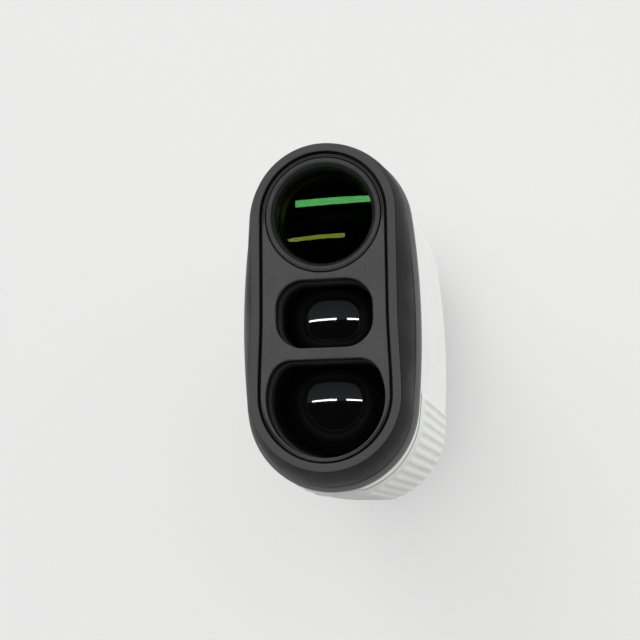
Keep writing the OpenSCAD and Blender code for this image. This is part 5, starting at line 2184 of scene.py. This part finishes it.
    def seen(self, w: Wire, lighting: bpy.types.NodeSocket, shown: float) -> bpy.types.NodeSocket:
        """A strength that differs between rays that light a surface and rays that show this one.

        Args:
            w: The tree's wire.
            lighting: Strength for the rays that light.
            shown: Strength for the rays that show.

        Returns:
            The strength.
        """
        path = w.node("ShaderNodeLightPath").outputs
        direct = w.math("MAXIMUM", path["Is Camera Ray"],
                        w.math("MAXIMUM", path["Is Glossy Ray"], path["Is Transmission Ray"]))
        return w.math("ADD", lighting,
                      w.math("MULTIPLY", direct, w.math("SUBTRACT", shown, lighting)))

    def sheet(self, name: str, corners: Sequence[tuple[float, float, float]]) -> bpy.types.Object:
        """Pale paper that is seen from its front only.

        Args:
            name: Name of the sheet.
            corners: Its corners in metres, seen anticlockwise from its front.

        Returns:
            The sheet.
        """
        mesh = bpy.data.meshes.new(name)
        mesh.from_pydata(list(corners), [], [list(range(len(corners)))])
        piece = placed(name, mesh)
        paper = bpy.data.materials.new(name)
        paper.use_nodes = True
        w = Wire(paper.node_tree)
        shader = w.find("BSDF_PRINCIPLED")
        shader.inputs["Base Color"].default_value = (*self.paper, 1.0)
        shader.inputs["Roughness"].default_value = 0.9
        shader.inputs["Specular IOR Level"].default_value = 0.1
        mix = w.node("ShaderNodeMixShader")
        for index, source in enumerate((w.node("ShaderNodeNewGeometry").outputs["Backfacing"],
                                        shader.outputs[0],
                                        w.node("ShaderNodeBsdfTransparent").outputs[0])):
            w.feed(mix.inputs[index], source)
        w.feed(w.find("OUTPUT_MATERIAL").inputs["Surface"], mix.outputs[0])
        shader.inputs["Emission Color"].default_value = (1.0, 1.0, 1.0, 1.0)
        w.feed(shader.inputs["Emission Strength"],
               w.math("MULTIPLY", w.node("ShaderNodeLightPath").outputs["Is Camera Ray"],
                      self.glow))
        piece.data.materials.append(paper)
        piece.visible_glossy = piece.visible_diffuse = piece.visible_transmission = False
        return piece

    def card(self) -> None:
        """Dim card behind the tubes that only gloss shows: dark low down, bluish grey higher up."""
        mesh = bpy.data.meshes.new("card")
        mesh.from_pydata([(x, self.card_y, z) for x, z in ((-4, -2.5), (4, -2.5), (4, 3), (-4, 3))],
                         [], [(0, 1, 2, 3)])
        piece = placed("card", mesh)
        paint = bpy.data.materials.new("card")
        paint.use_nodes = True
        w = Wire(paint.node_tree)
        glow = w.node("ShaderNodeEmission")
        split = w.node("ShaderNodeSeparateXYZ")
        w.feed(split.inputs[0], w.node("ShaderNodeTexCoord").outputs["Object"])
        glow.inputs["Color"].default_value = (*self.card_hue, 1.0)
        rise, fall = (w.ramp(split.outputs["Z"], *span)
                      for span in (self.card_rise, self.card_fall))
        w.feed(glow.inputs["Strength"], w.math("MULTIPLY", rise, fall))
        w.feed(w.find("OUTPUT_MATERIAL").inputs["Surface"], glow.outputs[0])
        mesh.materials.append(paint)
        piece.visible_camera = piece.visible_diffuse = piece.visible_shadow = False
        self.reach(piece, "EXCLUDE")

    def build(self) -> None:
        """Sets up the whole stage."""
        self.camera()
        self.lamps()
        self.world()
        r = self.reach_out
        square = ((-r, -r), (r, -r), (r, r), (-r, r))
        floor = self.sheet("floor", [(x, y, 0) for x, y in square])
        wall = self.sheet("backdrop", [(x, self.wall_y, z) for x, z in square])
        floor.visible_shadow = wall.visible_shadow = False
        self.card()
        bpy.context.scene.view_settings.view_transform = "Standard"


def main(frame: dict) -> None:
    """Builds the sub-assemblies in order, then the stage.

    Args:
        frame: The loaded frame.
    """
    logging.basicConfig(level=logging.INFO, format="%(name)s: %(message)s")
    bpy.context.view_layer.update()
    bench = Bench(frame)
    for part in (LensEnd(), Shells(), TopControls(), EyeEnd(), SlopeSwitch(), Inside()):
        part.build(bench)
        log.info("%s built", type(part).__name__)
    Studio().build()


if __name__ == "__main__":
    main(frame)
